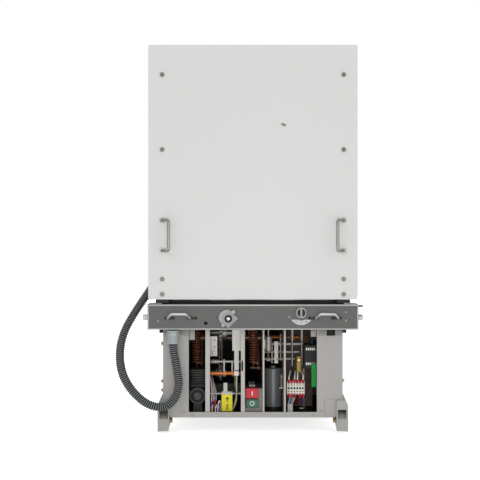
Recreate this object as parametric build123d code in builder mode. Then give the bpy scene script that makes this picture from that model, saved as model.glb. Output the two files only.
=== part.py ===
"""Withdrawable indoor vacuum circuit breaker, 12 kV class, on a wheeled truck.

The spring mechanism sits low in an open sheet-metal box, three pole units stand on the
box's deck behind a tall front plate, and a galvanised racking crossbar with lock pins
runs across the front between the two.

Frame: X to the right, Y from the front plate to the contact arms, Z up, millimetres.
The origin is on the floor, halfway between the foremost and the rearmost point.
"""

from build123d import *
from math import asin, cos, degrees, pi, radians, sin, sqrt, tan
import os

os.makedirs("parts", exist_ok=True)

# ---------------------------------------------------------------- driving dimensions
running = 0.06  # radial clearance of a shaft that turns or slides in its hole
seat_gap = 0.3  # clearance between pieces that move past each other on flats

sheet = 2.5  # folded steel of the box
box_width = 560.0
box_front = -270.0
box_back = 210.0
box_bottom = 47.0
deck_top = 405.0
deck_sheet = 3.0
column_width = 80.0
column_return = 25.0
pan_lip = 17.0

bar_width = 652.0
bar_height = 78.0
bar_depth = 110.0
bar_sheet = 3.0
bar_bottom = 323.0
bar_front = -300.0
bar_travel = 200.0  # how far the truck racks in, away from its crossbar
bar_clearance = 3.0

plate_width = 648.0
plate_height = 788.0
plate_sheet = 2.5
plate_fold = 18.0
plate_front = -292.0
plate_gap = 15.0  # between the crossbar's top and the plate's lower edge
plate_screw_x = plate_width / 2 - 43
plate_screw_heights = (432.0, 479.0, 880.0, 1112.0)
plate_screw_radius = 3.2
pull_height = 94.0  # between the feet of a bow handle
pull_centre = 614.0
pull_reach = 40.0
pull_lean = 22.0
pull_rod = 5.0

post_leg = 40.0
post_sheet = 3.0

wheel_radius = 36.0
wheel_width = 28.0
wheel_x = box_width / 2 - 2
wheel_front_y = -240.0
wheel_back_y = 170.0
axle_radius = 6.0
fork_sheet = 3.0
fork_gap = 1.0  # between the wheel's side and the fork's cheek
fork_clearance = 4.0  # between the tread and the fork's front plate
fork_bottom = 8.0
fork_top = 88.0

pole_pitch = 0.375 * box_width
pole_y = 60.0
lower_arm_z = 600.0
upper_arm_z = 910.0
trough_width = 126.0
trough_front = -8.0
trough_back = 118.0
trough_wall = 8.0
trough_top = 985.0
arm_radius = 22.0
arm_end = 295.0
tulip_bore = 24.5
tulip_outer = 40.0
tulip_start = 272.0
tulip_end = 338.0
tulip_slits = 16
slit_width = 2.0

shaft_y = 20.0
shaft_z = 270.0
shaft_radius = 11.0
lever_sheet = 8.0
lever_pin = 5.0
closing_angle = 16.0  # turn of the main shaft from open to closed
stem_radius = 12.0
contact_gap = 11.4

spring_radius = 12.0
spring_wire = 4.0
spring_pitch = 8.0
spring_turns = 21
spring_sides = 10
spring_pin_y = -40.0
spring_pin_z = 175.0
spring_xs = (-184.0, 4.0)

chain_x = -102.0
chain_pitch = 12.7
cam_teeth = 24
motor_teeth = 10
cam_y = -130.0
cam_z = 300.0
motor_shaft_z = 173.0
sprocket_width = 5.0

partition_sheet = 3.0
partition_back = 150.0
partitions = {"left": (-141.0, 14.0), "middle": (-31.0, 12.0)}
thin_partition_sheet = 5.0
thin_partition_xs = (33.5, 100.0)

screw_x = -76.0
screw_z = 357.5
screw_radius = 10.0
screw_end = 75.0
guide_rod_x = box_width / 2 - 48
guide_rod_radius = 8.0
guide_rod_end = 60.0
bracket_y = -150.0

lock_z = 359.0
lock_y = -262.0
lock_radius = 9.0
guide_radius = 10.0  # of the thicker part of the pin that slides in the crossbar's end
lock_reach = 17.0
lock_travel = 18.0
slot_inner = 188.0  # middle of the inner handle slot, from the centre
slot_outer = 257.0
slot_length = 34.0
slot_height = 9.0
lock_grip_radius = 4.0

knob_x = 149.0
knob_z = 375.5
knob_radius = 17.5
scale_radius = 38.0
scale_drop = 21.5  # of the crescent's straight edge below the knob, clear of the lock handle

hose_radius = 14.25
fitting_x = -247.0
fitting_y = -291.0
fitting_radius = 17.0
fitting_bottom = 280.0
plug_x = -297.0
plug_y = -215.0
plug_bottom = 556.0
plug_size = (46.0, 36.0)
flange_z = 620.0

# ---------------------------------------------------------------- worked-out sizes
half_box = box_width / 2
bar_top = bar_bottom + bar_height
bar_back = bar_front + bar_depth
shoulder_z = bar_bottom - bar_clearance
shoulder_y = bar_back + bar_clearance
deck_under = deck_top - deck_sheet
column_inner = half_box - column_width
plate_bottom = bar_top + plate_gap
plate_top = plate_bottom + plate_height
plate_back = plate_front + plate_sheet
fork_inner_x = wheel_x - wheel_width / 2 - fork_gap - fork_sheet
fork_outer_x = wheel_x + wheel_width / 2 + fork_gap + fork_sheet
fork_front_y = wheel_front_y - wheel_radius - fork_clearance - fork_sheet
axle_z = wheel_radius
pole_xs = (-pole_pitch, 0.0, pole_pitch)
lever_length = pole_y - shaft_y
lever_start = closing_angle / 2
rod_pin_z = shaft_z - lever_length * sin(radians(lever_start))
rod_travel = 2 * lever_length * sin(radians(lever_start))
cam_radius = chain_pitch / 2 / sin(pi / cam_teeth)
motor_radius = chain_pitch / 2 / sin(pi / motor_teeth)
chain_front_y = cam_y - cam_radius
motor_shaft_y = chain_front_y + motor_radius
coil_low = spring_pin_z + 16
spring_top = coil_low + spring_turns * spring_pitch + 24

print("rod travel", round(rod_travel, 3), "per radian", rod_travel / radians(closing_angle))


def finish(piece, name):
    """Labels a finished piece and writes it as its own STEP file."""
    piece.label = name
    export_step(piece, f"parts/{name}.step")


def box_between(x0, x1, y0, y1, z0, z1, mode=Mode.ADD):
    """Adds a block to the part being built, given by its six faces."""
    with Locations(((x0 + x1) / 2, (y0 + y1) / 2, (z0 + z1) / 2)):
        Box(abs(x1 - x0), abs(y1 - y0), abs(z1 - z0), mode=mode)


def rod_along(axis, centre, radius, length, mode=Mode.ADD):
    """Adds a round bar centred on a point, lying along X, Y or Z."""
    turns = {"X": (0, 90, 0), "Y": (90, 0, 0), "Z": (0, 0, 0)}
    with Locations(Location(centre, turns[axis])):
        Cylinder(radius, length, mode=mode)


def hexagon_along(axis, centre, across_flats, length, mode=Mode.ADD):
    """Adds a bolt head or a nut centred on a point."""
    planes = {
        "X": Plane(origin=centre, x_dir=(0, 1, 0), z_dir=(1, 0, 0)),
        "Y": Plane(origin=centre, x_dir=(1, 0, 0), z_dir=(0, 1, 0)),
        "Z": Plane(origin=centre, x_dir=(1, 0, 0), z_dir=(0, 0, 1)),
    }
    with BuildSketch(planes[axis]) as outline:
        RegularPolygon(across_flats / sqrt(3), 6)
    extrude(outline.sketch, amount=length / 2, both=True, mode=mode)


# ---------------------------------------------------------------- the mechanism box
notch_front = (fork_front_y - 2, wheel_front_y + wheel_radius + 9)
notch_back = (wheel_back_y - wheel_radius - 9, box_back + 2)
notch_top = fork_top + 2
notch_x = fork_inner_x - 3

with BuildPart() as floor_pan:
    box_between(-half_box + sheet, half_box - sheet, box_front + sheet, box_back - sheet,
                box_bottom, box_bottom + sheet)
    box_between(-column_inner, column_inner, box_front, box_front + sheet,
                box_bottom, box_bottom + pan_lip)
    for side in (-1, 1):
        for y0, y1 in (notch_front, notch_back):
            box_between(side * notch_x, side * half_box, y0, y1,
                        box_bottom - 1, notch_top, mode=Mode.SUBTRACT)
finish(floor_pan.part, "floor_pan")


def side_column(side):
    """One folded side of the box: side wall, front face with its top notch, inner return."""
    window_inner = 230.0
    window_outer = 256.0
    window_height = 18.0
    with BuildPart() as column:
        with BuildSketch(Plane(origin=(side * half_box, 0, 0), x_dir=(0, 1, 0), z_dir=(1, 0, 0))):
            with BuildLine():
                Polyline((box_front, box_bottom), (box_back, box_bottom), (box_back, deck_under),
                         (shoulder_y, deck_under), (shoulder_y, shoulder_z),
                         (box_front, shoulder_z), close=True)
            make_face()
        extrude(amount=-side * sheet)
        box_between(side * column_inner, side * half_box, box_front, box_front + sheet,
                    box_bottom, shoulder_z)
        box_between(side * column_inner, side * (column_inner + sheet), box_front,
                    box_front + column_return, box_bottom + sheet, shoulder_z)
        box_between(side * window_inner, side * window_outer, box_front - 1,
                    box_front + sheet + 1, shoulder_z - window_height, shoulder_z + 1,
                    mode=Mode.SUBTRACT)
        for y0, y1 in (notch_front, notch_back):
            box_between(side * notch_x, side * (half_box + 1), y0, y1,
                        box_bottom - 1, notch_top, mode=Mode.SUBTRACT)
        rod_along("X", (side * half_box, shaft_y, shaft_z), shaft_radius + running,
                  4 * sheet, mode=Mode.SUBTRACT)
    return column.part


finish(side_column(-1), "side_column_left")
finish(side_column(1), "side_column_right")

with BuildPart() as rear_wall:
    box_between(-notch_x, notch_x, box_back - sheet, box_back, box_bottom + sheet, deck_under)
    box_between(-half_box + sheet, half_box - sheet, box_back - sheet, box_back,
                notch_top, deck_under)
    with BuildSketch(Plane(origin=(0, box_back, 225), x_dir=(1, 0, 0), z_dir=(0, 1, 0))):
        with GridLocations(60, 26, 6, 4):
            SlotOverall(40, 8)
    extrude(amount=-2 * sheet, both=True, mode=Mode.SUBTRACT)
finish(rear_wall.part, "rear_wall")

rod_hole = 16.0
with BuildPart() as deck_plate:
    box_between(-half_box, half_box, shoulder_y, box_back, deck_under, deck_top)
    for x in pole_xs:
        rod_along("Z", (x, pole_y, deck_top), rod_hole, 4 * deck_sheet, mode=Mode.SUBTRACT)
    for x in spring_xs:
        box_between(x - 12, x + 12, spring_pin_y - 12, spring_pin_y + 12, spring_top, deck_under)
finish(deck_plate.part, "deck_plate")


def partition(centre_x, flange, web_x):
    """A mechanism plate across the box, its web at web_x and its front edge turned to a flange."""
    with BuildPart() as plate:
        with BuildSketch(Plane(origin=(web_x, 0, 0), x_dir=(0, 1, 0), z_dir=(1, 0, 0))):
            with BuildLine():
                Polyline((box_front + sheet, box_bottom + sheet),
                         (partition_back, box_bottom + sheet), (partition_back, deck_under),
                         (shoulder_y, deck_under), (shoulder_y, shoulder_z),
                         (box_front + sheet, shoulder_z), close=True)
            make_face()
        extrude(amount=partition_sheet / 2, both=True)
        box_between(centre_x - flange / 2, centre_x + flange / 2, box_front + sheet,
                    box_front + 2 * sheet, box_bottom + pan_lip + 1, shoulder_z)
        rod_along("X", (web_x, shaft_y, shaft_z), shaft_radius + 3, 4 * flange,
                  mode=Mode.SUBTRACT)
    return plate


left_x, left_flange = partitions["left"]
middle_x, middle_flange = partitions["middle"]
left_web = left_x - left_flange / 2 + partition_sheet / 2
middle_web = middle_x + middle_flange / 2 - partition_sheet / 2
cam_shaft_radius = 9.0
motor_shaft_radius = 8.0

with BuildPart() as partition_left:
    add(partition(left_x, left_flange, left_web).part)
    rod_along("X", (left_web, cam_y, cam_z), cam_shaft_radius + running, 20,
              mode=Mode.SUBTRACT)
    rod_along("X", (left_web, motor_shaft_y, motor_shaft_z), motor_shaft_radius + 2, 20,
              mode=Mode.SUBTRACT)
finish(partition_left.part, "partition_left")

with BuildPart() as partition_middle:
    add(partition(middle_x, middle_flange, middle_web).part)
    rod_along("X", (middle_web, cam_y, cam_z), cam_shaft_radius + running, 20,
              mode=Mode.SUBTRACT)
    with BuildSketch(Plane(origin=(middle_x - 2, box_front, 208), x_dir=(0, 0, 1),
                           z_dir=(0, 1, 0))):
        SlotOverall(34, 5)
    extrude(amount=3 * sheet, mode=Mode.SUBTRACT)
finish(partition_middle.part, "partition_middle")

with BuildPart() as partitions_thin:
    for x in thin_partition_xs:
        with BuildSketch(Plane(origin=(x, 0, 0), x_dir=(0, 1, 0), z_dir=(1, 0, 0))):
            with BuildLine():
                Polyline((box_front + sheet, box_bottom + sheet),
                         (partition_back, box_bottom + sheet), (partition_back, deck_under),
                         (shoulder_y, deck_under), (shoulder_y, shoulder_z),
                         (box_front + sheet, shoulder_z), close=True)
            make_face()
        extrude(amount=thin_partition_sheet / 2, both=True)
        rod_along("X", (x, shaft_y, shaft_z), shaft_radius + 3, 20, mode=Mode.SUBTRACT)
finish(partitions_thin.part, "partitions_thin")

# ---------------------------------------------------------------- wheels and their forks
flange_inner_x = half_box - 55


def wheel_fork(side, end):
    """A folded fork round one wheel. side is -1 left or 1 right, end is -1 front or 1 back."""
    axle_y = wheel_front_y if end < 0 else wheel_back_y
    front_y = axle_y + end * (wheel_radius + fork_clearance + fork_sheet)
    back_y = axle_y - end * wheel_radius
    face_y = box_front if end < 0 else box_back
    with BuildPart() as fork:
        with BuildSketch(Plane(origin=(0, front_y, 0), x_dir=(1, 0, 0), z_dir=(0, -1, 0))):
            with BuildLine():
                Polyline((side * fork_inner_x, fork_bottom + 10),
                         (side * (fork_inner_x + 4), fork_bottom),
                         (side * fork_outer_x, fork_bottom - 3), (side * fork_outer_x, fork_top),
                         (side * (fork_outer_x - 10), fork_top + 14),
                         (side * fork_inner_x, fork_top + 14), close=True)
            make_face()
            with Locations((side * (wheel_x - 1), 59)):
                Rectangle(26, 28, mode=Mode.SUBTRACT)
        extrude(amount=end * fork_sheet)
        for x0, x1 in ((fork_inner_x, fork_inner_x + fork_sheet),
                       (fork_outer_x - fork_sheet, fork_outer_x)):
            with BuildSketch(Plane(origin=(side * x0, 0, 0), x_dir=(0, 1, 0), z_dir=(1, 0, 0))):
                with BuildLine():
                    Polyline((front_y, fork_bottom + 10), (axle_y, fork_bottom + 10),
                             (back_y, axle_z), (back_y, fork_top), (front_y, fork_top),
                             close=True)
                make_face()
            extrude(amount=side * (x1 - x0))
        box_between(side * fork_inner_x, side * fork_outer_x, front_y, back_y,
                    fork_top - fork_sheet, fork_top)
        flange_y = face_y + end * fork_sheet
        box_between(side * flange_inner_x, side * (fork_inner_x + fork_sheet), face_y, flange_y,
                    box_bottom + 5, fork_top + 14)
        box_between(side * fork_inner_x, side * (fork_inner_x + fork_sheet), face_y, front_y,
                    fork_top, fork_top + 14)
        with BuildSketch(Plane(origin=(0, axle_y, 0), x_dir=(1, 0, 0), z_dir=(0, -1, 0))):
            with BuildLine():
                Polyline((side * half_box, fork_top), (side * fork_outer_x, fork_top),
                         (side * (half_box + fork_sheet), fork_top + 30),
                         (side * half_box, fork_top + 30), close=True)
            make_face()
        extrude(amount=20, both=True)
        rod_along("X", (side * wheel_x, axle_y, axle_z), axle_radius, 60, mode=Mode.SUBTRACT)
    return fork.part


with BuildPart() as wheel_forks:
    for side in (-1, 1):
        for end in (-1, 1):
            add(wheel_fork(side, end))
finish(wheel_forks.part, "wheel_forks")

tread_round = 3.0
hub_radius = 15.0
web_width = 12.0


def wheel(side, axle_y):
    """A turned steel wheel: rounded tread, thinner web and a hub bored for its axle bolt."""
    with BuildPart() as disc:
        with BuildSketch(Plane.XY) as section:
            with BuildLine():
                Polyline((axle_radius + running, -wheel_width / 2),
                         (hub_radius, -wheel_width / 2), (hub_radius, -web_width / 2),
                         (wheel_radius - 7, -web_width / 2), (wheel_radius - 7, -wheel_width / 2),
                         (wheel_radius, -wheel_width / 2), (wheel_radius, wheel_width / 2),
                         (wheel_radius - 7, wheel_width / 2), (wheel_radius - 7, web_width / 2),
                         (hub_radius, web_width / 2), (hub_radius, wheel_width / 2),
                         (axle_radius + running, wheel_width / 2), close=True)
            make_face()
            fillet(section.vertices().group_by(Axis.X)[-1], tread_round)
        revolve(axis=Axis.Y)
    return disc.part.rotate(Axis.Z, 90).translate((side * wheel_x, axle_y, axle_z))


for side_name, side in (("left", -1), ("right", 1)):
    for end_name, axle_y in (("front", wheel_front_y), ("rear", wheel_back_y)):
        finish(wheel(side, axle_y), f"wheel_{end_name}_{side_name}")

bolt_head = 19.0
bolt_head_height = 8.0
with BuildPart() as axle_bolts:
    for side in (-1, 1):
        for axle_y in (wheel_front_y, wheel_back_y):
            inner = fork_inner_x - bolt_head_height
            outer = fork_outer_x + 3
            rod_along("X", (side * (inner + outer) / 2, axle_y, axle_z), axle_radius,
                      outer - inner)
            hexagon_along("X", (side * (fork_inner_x - bolt_head_height / 2), axle_y, axle_z),
                          bolt_head, bolt_head_height)

# ---------------------------------------------------------------- the racking crossbar
boss_radius = 24.0
with BuildPart() as crossbar:
    box_between(-bar_width / 2, bar_width / 2, bar_front, bar_back, bar_bottom, bar_top)
    inside_back = bar_back + 1
    box_between(-bar_width / 2 + bar_sheet, bar_width / 2 - bar_sheet,
                bar_front + bar_sheet, inside_back, bar_bottom + bar_sheet,
                bar_top - bar_sheet, mode=Mode.SUBTRACT)
    box_between(-bar_width / 2 + 30, bar_width / 2 - 30, bar_front + 40, inside_back,
                bar_bottom - 1, bar_bottom + bar_sheet + 1, mode=Mode.SUBTRACT)
    with BuildSketch(Plane.XY.offset(bar_bottom - 1)):
        for side in (-1, 1):
            with BuildLine():
                Polyline((side * bar_width / 2, bar_back), (side * (bar_width / 2 - 22), bar_back),
                         (side * bar_width / 2, bar_back - 34), close=True)
            make_face()
    extrude(amount=bar_height + 2, mode=Mode.SUBTRACT)
    with BuildSketch(Plane(origin=(0, bar_front, 0), x_dir=(1, 0, 0), z_dir=(0, -1, 0))):
        for side in (-1, 1):
            with Locations((side * slot_inner, lock_z), (side * slot_outer, lock_z)):
                SlotOverall(slot_length, slot_height)
        with Locations((-145, 343)):
            Circle(6)
        with Locations((-113, 362)):
            Circle(2)
        with Locations((screw_x, screw_z)):
            Circle(screw_radius + 3)
        with Locations((knob_x, knob_z)):
            Circle(6 + running)
    extrude(amount=-2 * bar_sheet, mode=Mode.SUBTRACT)
    for side in (-1, 1):
        rod_along("X", (side * bar_width / 2, lock_y, lock_z), guide_radius + running, 30,
                  mode=Mode.SUBTRACT)
    box_between(bar_width / 2, bar_width / 2 + 15, -285, -255, 392, 397)
finish(crossbar.part, "crossbar")

with BuildPart() as racking_boss:
    with BuildSketch(Plane(origin=(screw_x, bar_front, screw_z), x_dir=(1, 0, 0),
                           z_dir=(0, -1, 0))):
        with Locations(Rotation(0, 0, 45)):
            RectangleRounded(42, 42, 3)
        with Locations((-5, 3)):
            Circle(boss_radius)
    extrude(amount=6)
    rod_along("Y", (screw_x, bar_front - 9, screw_z), 14, 6)
    for dx, dz in ((16, 21), (-16, -20)):
        hexagon_along("Y", (screw_x + dx, bar_front - 8, screw_z + dz), 10, 5)
    rod_along("Y", (screw_x, bar_front - 5, screw_z), screw_radius + running, 40,
              mode=Mode.SUBTRACT)
finish(racking_boss.part, "racking_boss")

# The lead screw turns in the boss and draws the truck along by the nut under its deck.
with BuildPart() as racking_screw:
    screw_front = bar_front - 11
    rod_along("Y", (screw_x, (screw_front + screw_end) / 2, screw_z), screw_radius,
              screw_end - screw_front)
    with BuildSketch(Plane(origin=(screw_x, screw_front, screw_z), x_dir=(1, 0, 0),
                           z_dir=(0, -1, 0))):
        Circle(screw_radius + 1)
        Rectangle(11, 11, mode=Mode.SUBTRACT)
    extrude(amount=-8, mode=Mode.SUBTRACT)
finish(racking_screw.part, "racking_screw")

with BuildPart() as guide_rods:
    rod_front = bar_front + 22
    for side in (-1, 1):
        box_between(side * (guide_rod_x - 10), side * (guide_rod_x + 10), rod_front,
                    rod_front + 5, screw_z - 9, bar_top - bar_sheet)
        rod_along("Y", (side * guide_rod_x, (rod_front + guide_rod_end) / 2, screw_z),
                  guide_rod_radius, guide_rod_end - rod_front)
finish(guide_rods.part, "guide_rods")

with BuildPart() as bar_guides:
    box_between(screw_x - 16, screw_x + 16, bracket_y, bracket_y + 30, screw_z - 18, deck_under)
    rod_along("Y", (screw_x, bracket_y, screw_z), screw_radius + running, 80,
              mode=Mode.SUBTRACT)
    for side in (-1, 1):
        box_between(side * (guide_rod_x - 16), side * (guide_rod_x + 16), bracket_y,
                    bracket_y + 24, screw_z - 18, deck_under)
        rod_along("Y", (side * guide_rod_x, bracket_y, screw_z), guide_rod_radius + running, 80,
                  mode=Mode.SUBTRACT)
finish(bar_guides.part, "bar_guides")

grip_reach = 38.0
grip_rise = 14.0


def lock_handle(side):
    """A bent-rod grip through the crossbar's two slots, tied to a slide bar behind its face."""
    inner, outer = side * (slot_inner + 6), side * (slot_outer + 6)
    behind = bar_front + bar_sheet + 6
    path = [(inner, behind, lock_z), (inner, bar_front - 12, lock_z),
            (inner + side * 12, bar_front - grip_reach + 4, lock_z + grip_rise),
            (outer - side * 12, bar_front - grip_reach + 4, lock_z + grip_rise),
            (outer, bar_front - 12, lock_z), (outer, behind, lock_z)]
    with BuildPart() as handle:
        with BuildLine() as bow:
            FilletPolyline(*path, radius=8)
        with BuildSketch(Plane(origin=path[0], z_dir=(0, -1, 0))):
            Circle(lock_grip_radius)
        sweep()
    return handle.part


def lock_bar(side):
    """The round lock pin that enters the cubicle's side, with the slide bar that carries it."""
    tip = bar_width / 2 + lock_reach
    behind = bar_front + bar_sheet + 6
    with BuildPart() as bar:
        rod_along("X", (side * (tip + 270) / 2, lock_y, lock_z), lock_radius, tip - 270)
        collar_end = bar_width / 2 + 0.5
        rod_along("X", (side * (collar_end + 270) / 2, lock_y, lock_z), guide_radius,
                  collar_end - 270)
        box_between(side * (slot_inner - 12), side * 285, behind, behind + 5, lock_z - 12,
                    lock_z + 12)
        box_between(side * 270, side * 285, behind, lock_y + lock_radius, lock_z - 12,
                    lock_z + 12)
        chamfer(bar.faces().sort_by(Axis.X)[-1 if side > 0 else 0].edges(), 1.5)
    return bar.part


for side_name, side in (("left", -1), ("right", 1)):
    with BuildPart() as lock:
        add(lock_handle(side))
        add(lock_bar(side))
    finish(lock.part, f"lock_pin_{side_name}")

with BuildPart() as interlock_knob:
    with BuildSketch(Plane(origin=(knob_x, bar_front - seat_gap, knob_z), x_dir=(1, 0, 0),
                           z_dir=(0, -1, 0))):
        Circle(knob_radius)
    extrude(amount=9)
    fillet(interlock_knob.edges().sort_by(Axis.Y)[0], 3)
    with BuildSketch(Plane(origin=(knob_x, bar_front - 20, knob_z), x_dir=(1, 0, 0),
                           z_dir=(0, -1, 0))):
        Circle(12.5)
    extrude(amount=-14, mode=Mode.SUBTRACT)
    box_between(knob_x - 3, knob_x + 3, bar_front - 9, bar_front - 5, knob_z - 13, knob_z + 13)
    rod_along("Y", (knob_x, bar_front + 2, knob_z), 6, 18)
finish(interlock_knob.part, "interlock_knob")

with BuildPart() as position_scale:
    with BuildSketch(Plane(origin=(knob_x, bar_front, knob_z), x_dir=(1, 0, 0),
                           z_dir=(0, -1, 0))):
        Circle(scale_radius)
        Circle(scale_radius - 14, mode=Mode.SUBTRACT)
        with Locations((0, scale_radius - scale_drop)):
            Rectangle(3 * scale_radius, 2 * scale_radius, mode=Mode.SUBTRACT)
        with PolarLocations(scale_radius - 7, 3, start_angle=-120, angular_range=60,
                            endpoint=True):
            Circle(1.6, mode=Mode.SUBTRACT)
    extrude(amount=1)
finish(position_scale.part, "position_scale")

# ---------------------------------------------------------------- front plate and its frame
with BuildPart() as front_plate:
    half = plate_width / 2
    fold_back = plate_front + plate_fold
    box_between(-half, half, plate_front, fold_back, plate_bottom, plate_top)
    box_between(-half + plate_sheet, half - plate_sheet, plate_back, fold_back + 1,
                plate_bottom - 1, plate_top - plate_sheet, mode=Mode.SUBTRACT)
    for side in (-1, 1):
        for z in plate_screw_heights:
            rod_along("Y", (side * plate_screw_x, plate_front, z), plate_screw_radius, 20,
                      mode=Mode.SUBTRACT)
finish(front_plate.part, "front_plate")

rail_height = 30.0
rail_back = -30.0
post_top = plate_top - 30
brace_top = 900.0


def fascia_frame(side):
    """An angle post behind the plate, a rail along the deck's edge and a diagonal brace."""
    outer = side * (plate_screw_x + post_leg / 2)
    inner = side * (plate_screw_x - post_leg / 2)
    web = inner + side * post_sheet
    with BuildPart() as frame:
        box_between(inner, outer, plate_back, plate_back + post_sheet, deck_top, post_top)
        box_between(inner, web, plate_back, plate_back + post_leg, deck_top, post_top)
        box_between(inner, side * half_box, plate_back, rail_back, deck_top,
                    deck_top + post_sheet)
        box_between(inner, web, plate_back, rail_back, deck_top, deck_top + rail_height)
        with BuildSketch(Plane(origin=(inner, 0, 0), x_dir=(0, 1, 0), z_dir=(1, 0, 0))):
            with BuildLine():
                Polyline((plate_back + 8, brace_top), (plate_back + 38, brace_top),
                         (rail_back - 5, deck_top + 10), (rail_back - 35, deck_top + 10),
                         close=True)
            make_face()
        extrude(amount=side * post_sheet)
        if side < 0:
            holder_back = plug_y + plug_size[1] / 2 + 4
            box_between(plug_x - plug_size[0] / 2 - 4, inner, plug_y - plug_size[1] / 2 - 4,
                        holder_back, flange_z - 22, flange_z)
            box_between(web, inner, plate_back, holder_back, flange_z - 22, flange_z)
            box_between(plug_x - plug_size[0] / 2 - 0.3, plug_x + plug_size[0] / 2 + 0.3,
                        plug_y - plug_size[1] / 2 - 0.3, plug_y + plug_size[1] / 2 + 0.3,
                        flange_z - 23, flange_z + 1, mode=Mode.SUBTRACT)
        for z in plate_screw_heights:
            rod_along("Y", (side * plate_screw_x, plate_front, z), plate_screw_radius, 20,
                      mode=Mode.SUBTRACT)
    return frame.part


finish(fascia_frame(-1), "fascia_frame_left")
finish(fascia_frame(1), "fascia_frame_right")

with BuildPart() as screws:
    for side in (-1, 1):
        for z in plate_screw_heights:
            rod_along("Y", (side * plate_screw_x, plate_back, z), plate_screw_radius, 14)
            rod_along("Y", (side * plate_screw_x, plate_front - 0.75, z), 7, 1.5)
            hexagon_along("Y", (side * plate_screw_x, plate_front - 3.5, z), 10, 4)


def pull_handle(side):
    """A bow handle of round rod on two round feet, its grip leaning in towards the middle."""
    low, high = pull_centre - pull_height / 2, pull_centre + pull_height / 2
    x = side * plate_screw_x
    grip_x = x - side * pull_lean
    with BuildPart() as handle:
        with BuildLine():
            FilletPolyline((x, plate_front, low), (x - side * 3, plate_front - 8, low),
                           (grip_x, plate_front - pull_reach, low),
                           (grip_x, plate_front - pull_reach, high),
                           (x - side * 3, plate_front - 8, high), (x, plate_front, high),
                           radius=(2, 9, 9, 2))
        with BuildSketch(Plane(origin=(x, plate_front, low), z_dir=(-side * 3, -8, 0))):
            Circle(pull_rod)
        sweep()
        for z in (low, high):
            rod_along("Y", (x, plate_front - 1.5, z), 8, 3)
        box_between(x - 20, x + 20, plate_front, plate_front + 6, low - 20, high + 20,
                    mode=Mode.SUBTRACT)
    return handle.part


with BuildPart() as pull_handles:
    add(pull_handle(-1))
    add(pull_handle(1))
finish(pull_handles.part, "pull_handles")

with BuildPart() as plate_screws:
    add(screws.part)
    for dx, dz in ((-3.4, 1.2), (3.4, -1.2)):
        rod_along("Y", (95 + dx, plate_front - 0.9, 957 + dz), 3.9, 1.8)
        rod_along("Y", (95 + dx, plate_front - 2, 957 + dz), 1.7, 6, mode=Mode.SUBTRACT)
finish(plate_screws.part, "plate_screws")

# ---------------------------------------------------------------- pole units
rib_height = 6.0
rib_step = 62.0
trough_half = trough_width / 2


def pole_trough(x):
    """One moulded insulating trough, open to the rear, with creepage ribs round its outside."""
    with BuildPart() as trough:
        with BuildSketch(Plane.XY.offset(deck_top)):
            with BuildLine():
                Polyline((x - trough_half, trough_back), (x - trough_half, trough_front + 26),
                         (x - trough_half + 26, trough_front),
                         (x + trough_half - 26, trough_front),
                         (x + trough_half, trough_front + 26), (x + trough_half, trough_back),
                         close=True)
            make_face()
            offset(amount=-trough_wall, mode=Mode.SUBTRACT)
            with Locations((x, trough_back)):
                Rectangle(trough_width - 2 * trough_wall, 4 * trough_wall, mode=Mode.SUBTRACT)
        extrude(amount=trough_top - deck_top)
        ribs = int((trough_top - deck_top - rib_step) / rib_step)
        for n in range(ribs + 1):
            with BuildSketch(Plane.XY.offset(deck_top + rib_step / 2 + n * rib_step)):
                with BuildLine():
                    Polyline((x - trough_half - rib_height, trough_back - 12),
                             (x - trough_half - rib_height, trough_front + 24),
                             (x - trough_half + 24, trough_front - rib_height),
                             (x + trough_half - 24, trough_front - rib_height),
                             (x + trough_half + rib_height, trough_front + 24),
                             (x + trough_half + rib_height, trough_back - 12), close=True)
                make_face()
                with BuildLine():
                    Polyline((x - trough_half + 1, trough_back), (x - trough_half + 1,
                             trough_front + 26), (x - trough_half + 26, trough_front + 1),
                             (x + trough_half - 26, trough_front + 1),
                             (x + trough_half - 1, trough_front + 26),
                             (x + trough_half - 1, trough_back), close=True)
                make_face(mode=Mode.SUBTRACT)
            extrude(amount=5)
        foot = 14.0
        box_between(x - trough_half, x + trough_half, trough_back - 14, trough_back + foot,
                    deck_top, deck_top + 10)
        box_between(x - 30, x + 30, trough_front + 1, trough_back + 1, deck_top - 1,
                    deck_top + 11, mode=Mode.SUBTRACT)
        box_between(x - trough_half + trough_wall, x + trough_half - trough_wall,
                    trough_front + 26, trough_back - 14, deck_top - 1, deck_top + 11,
                    mode=Mode.SUBTRACT)
    return trough.part


with BuildPart() as pole_troughs:
    for x in pole_xs:
        add(pole_trough(x))
finish(pole_troughs.part, "pole_troughs")

bottle_radius = 43.0
bottle_bottom = 650.0
bottle_top = 860.0
bottle_wall = 7.0
block_half = 27.0
block_height = 44.0
cavity_low = bottle_bottom + 8
contact_face = cavity_low + 92.0  # top face of the fixed gap, where the two contacts meet


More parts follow.
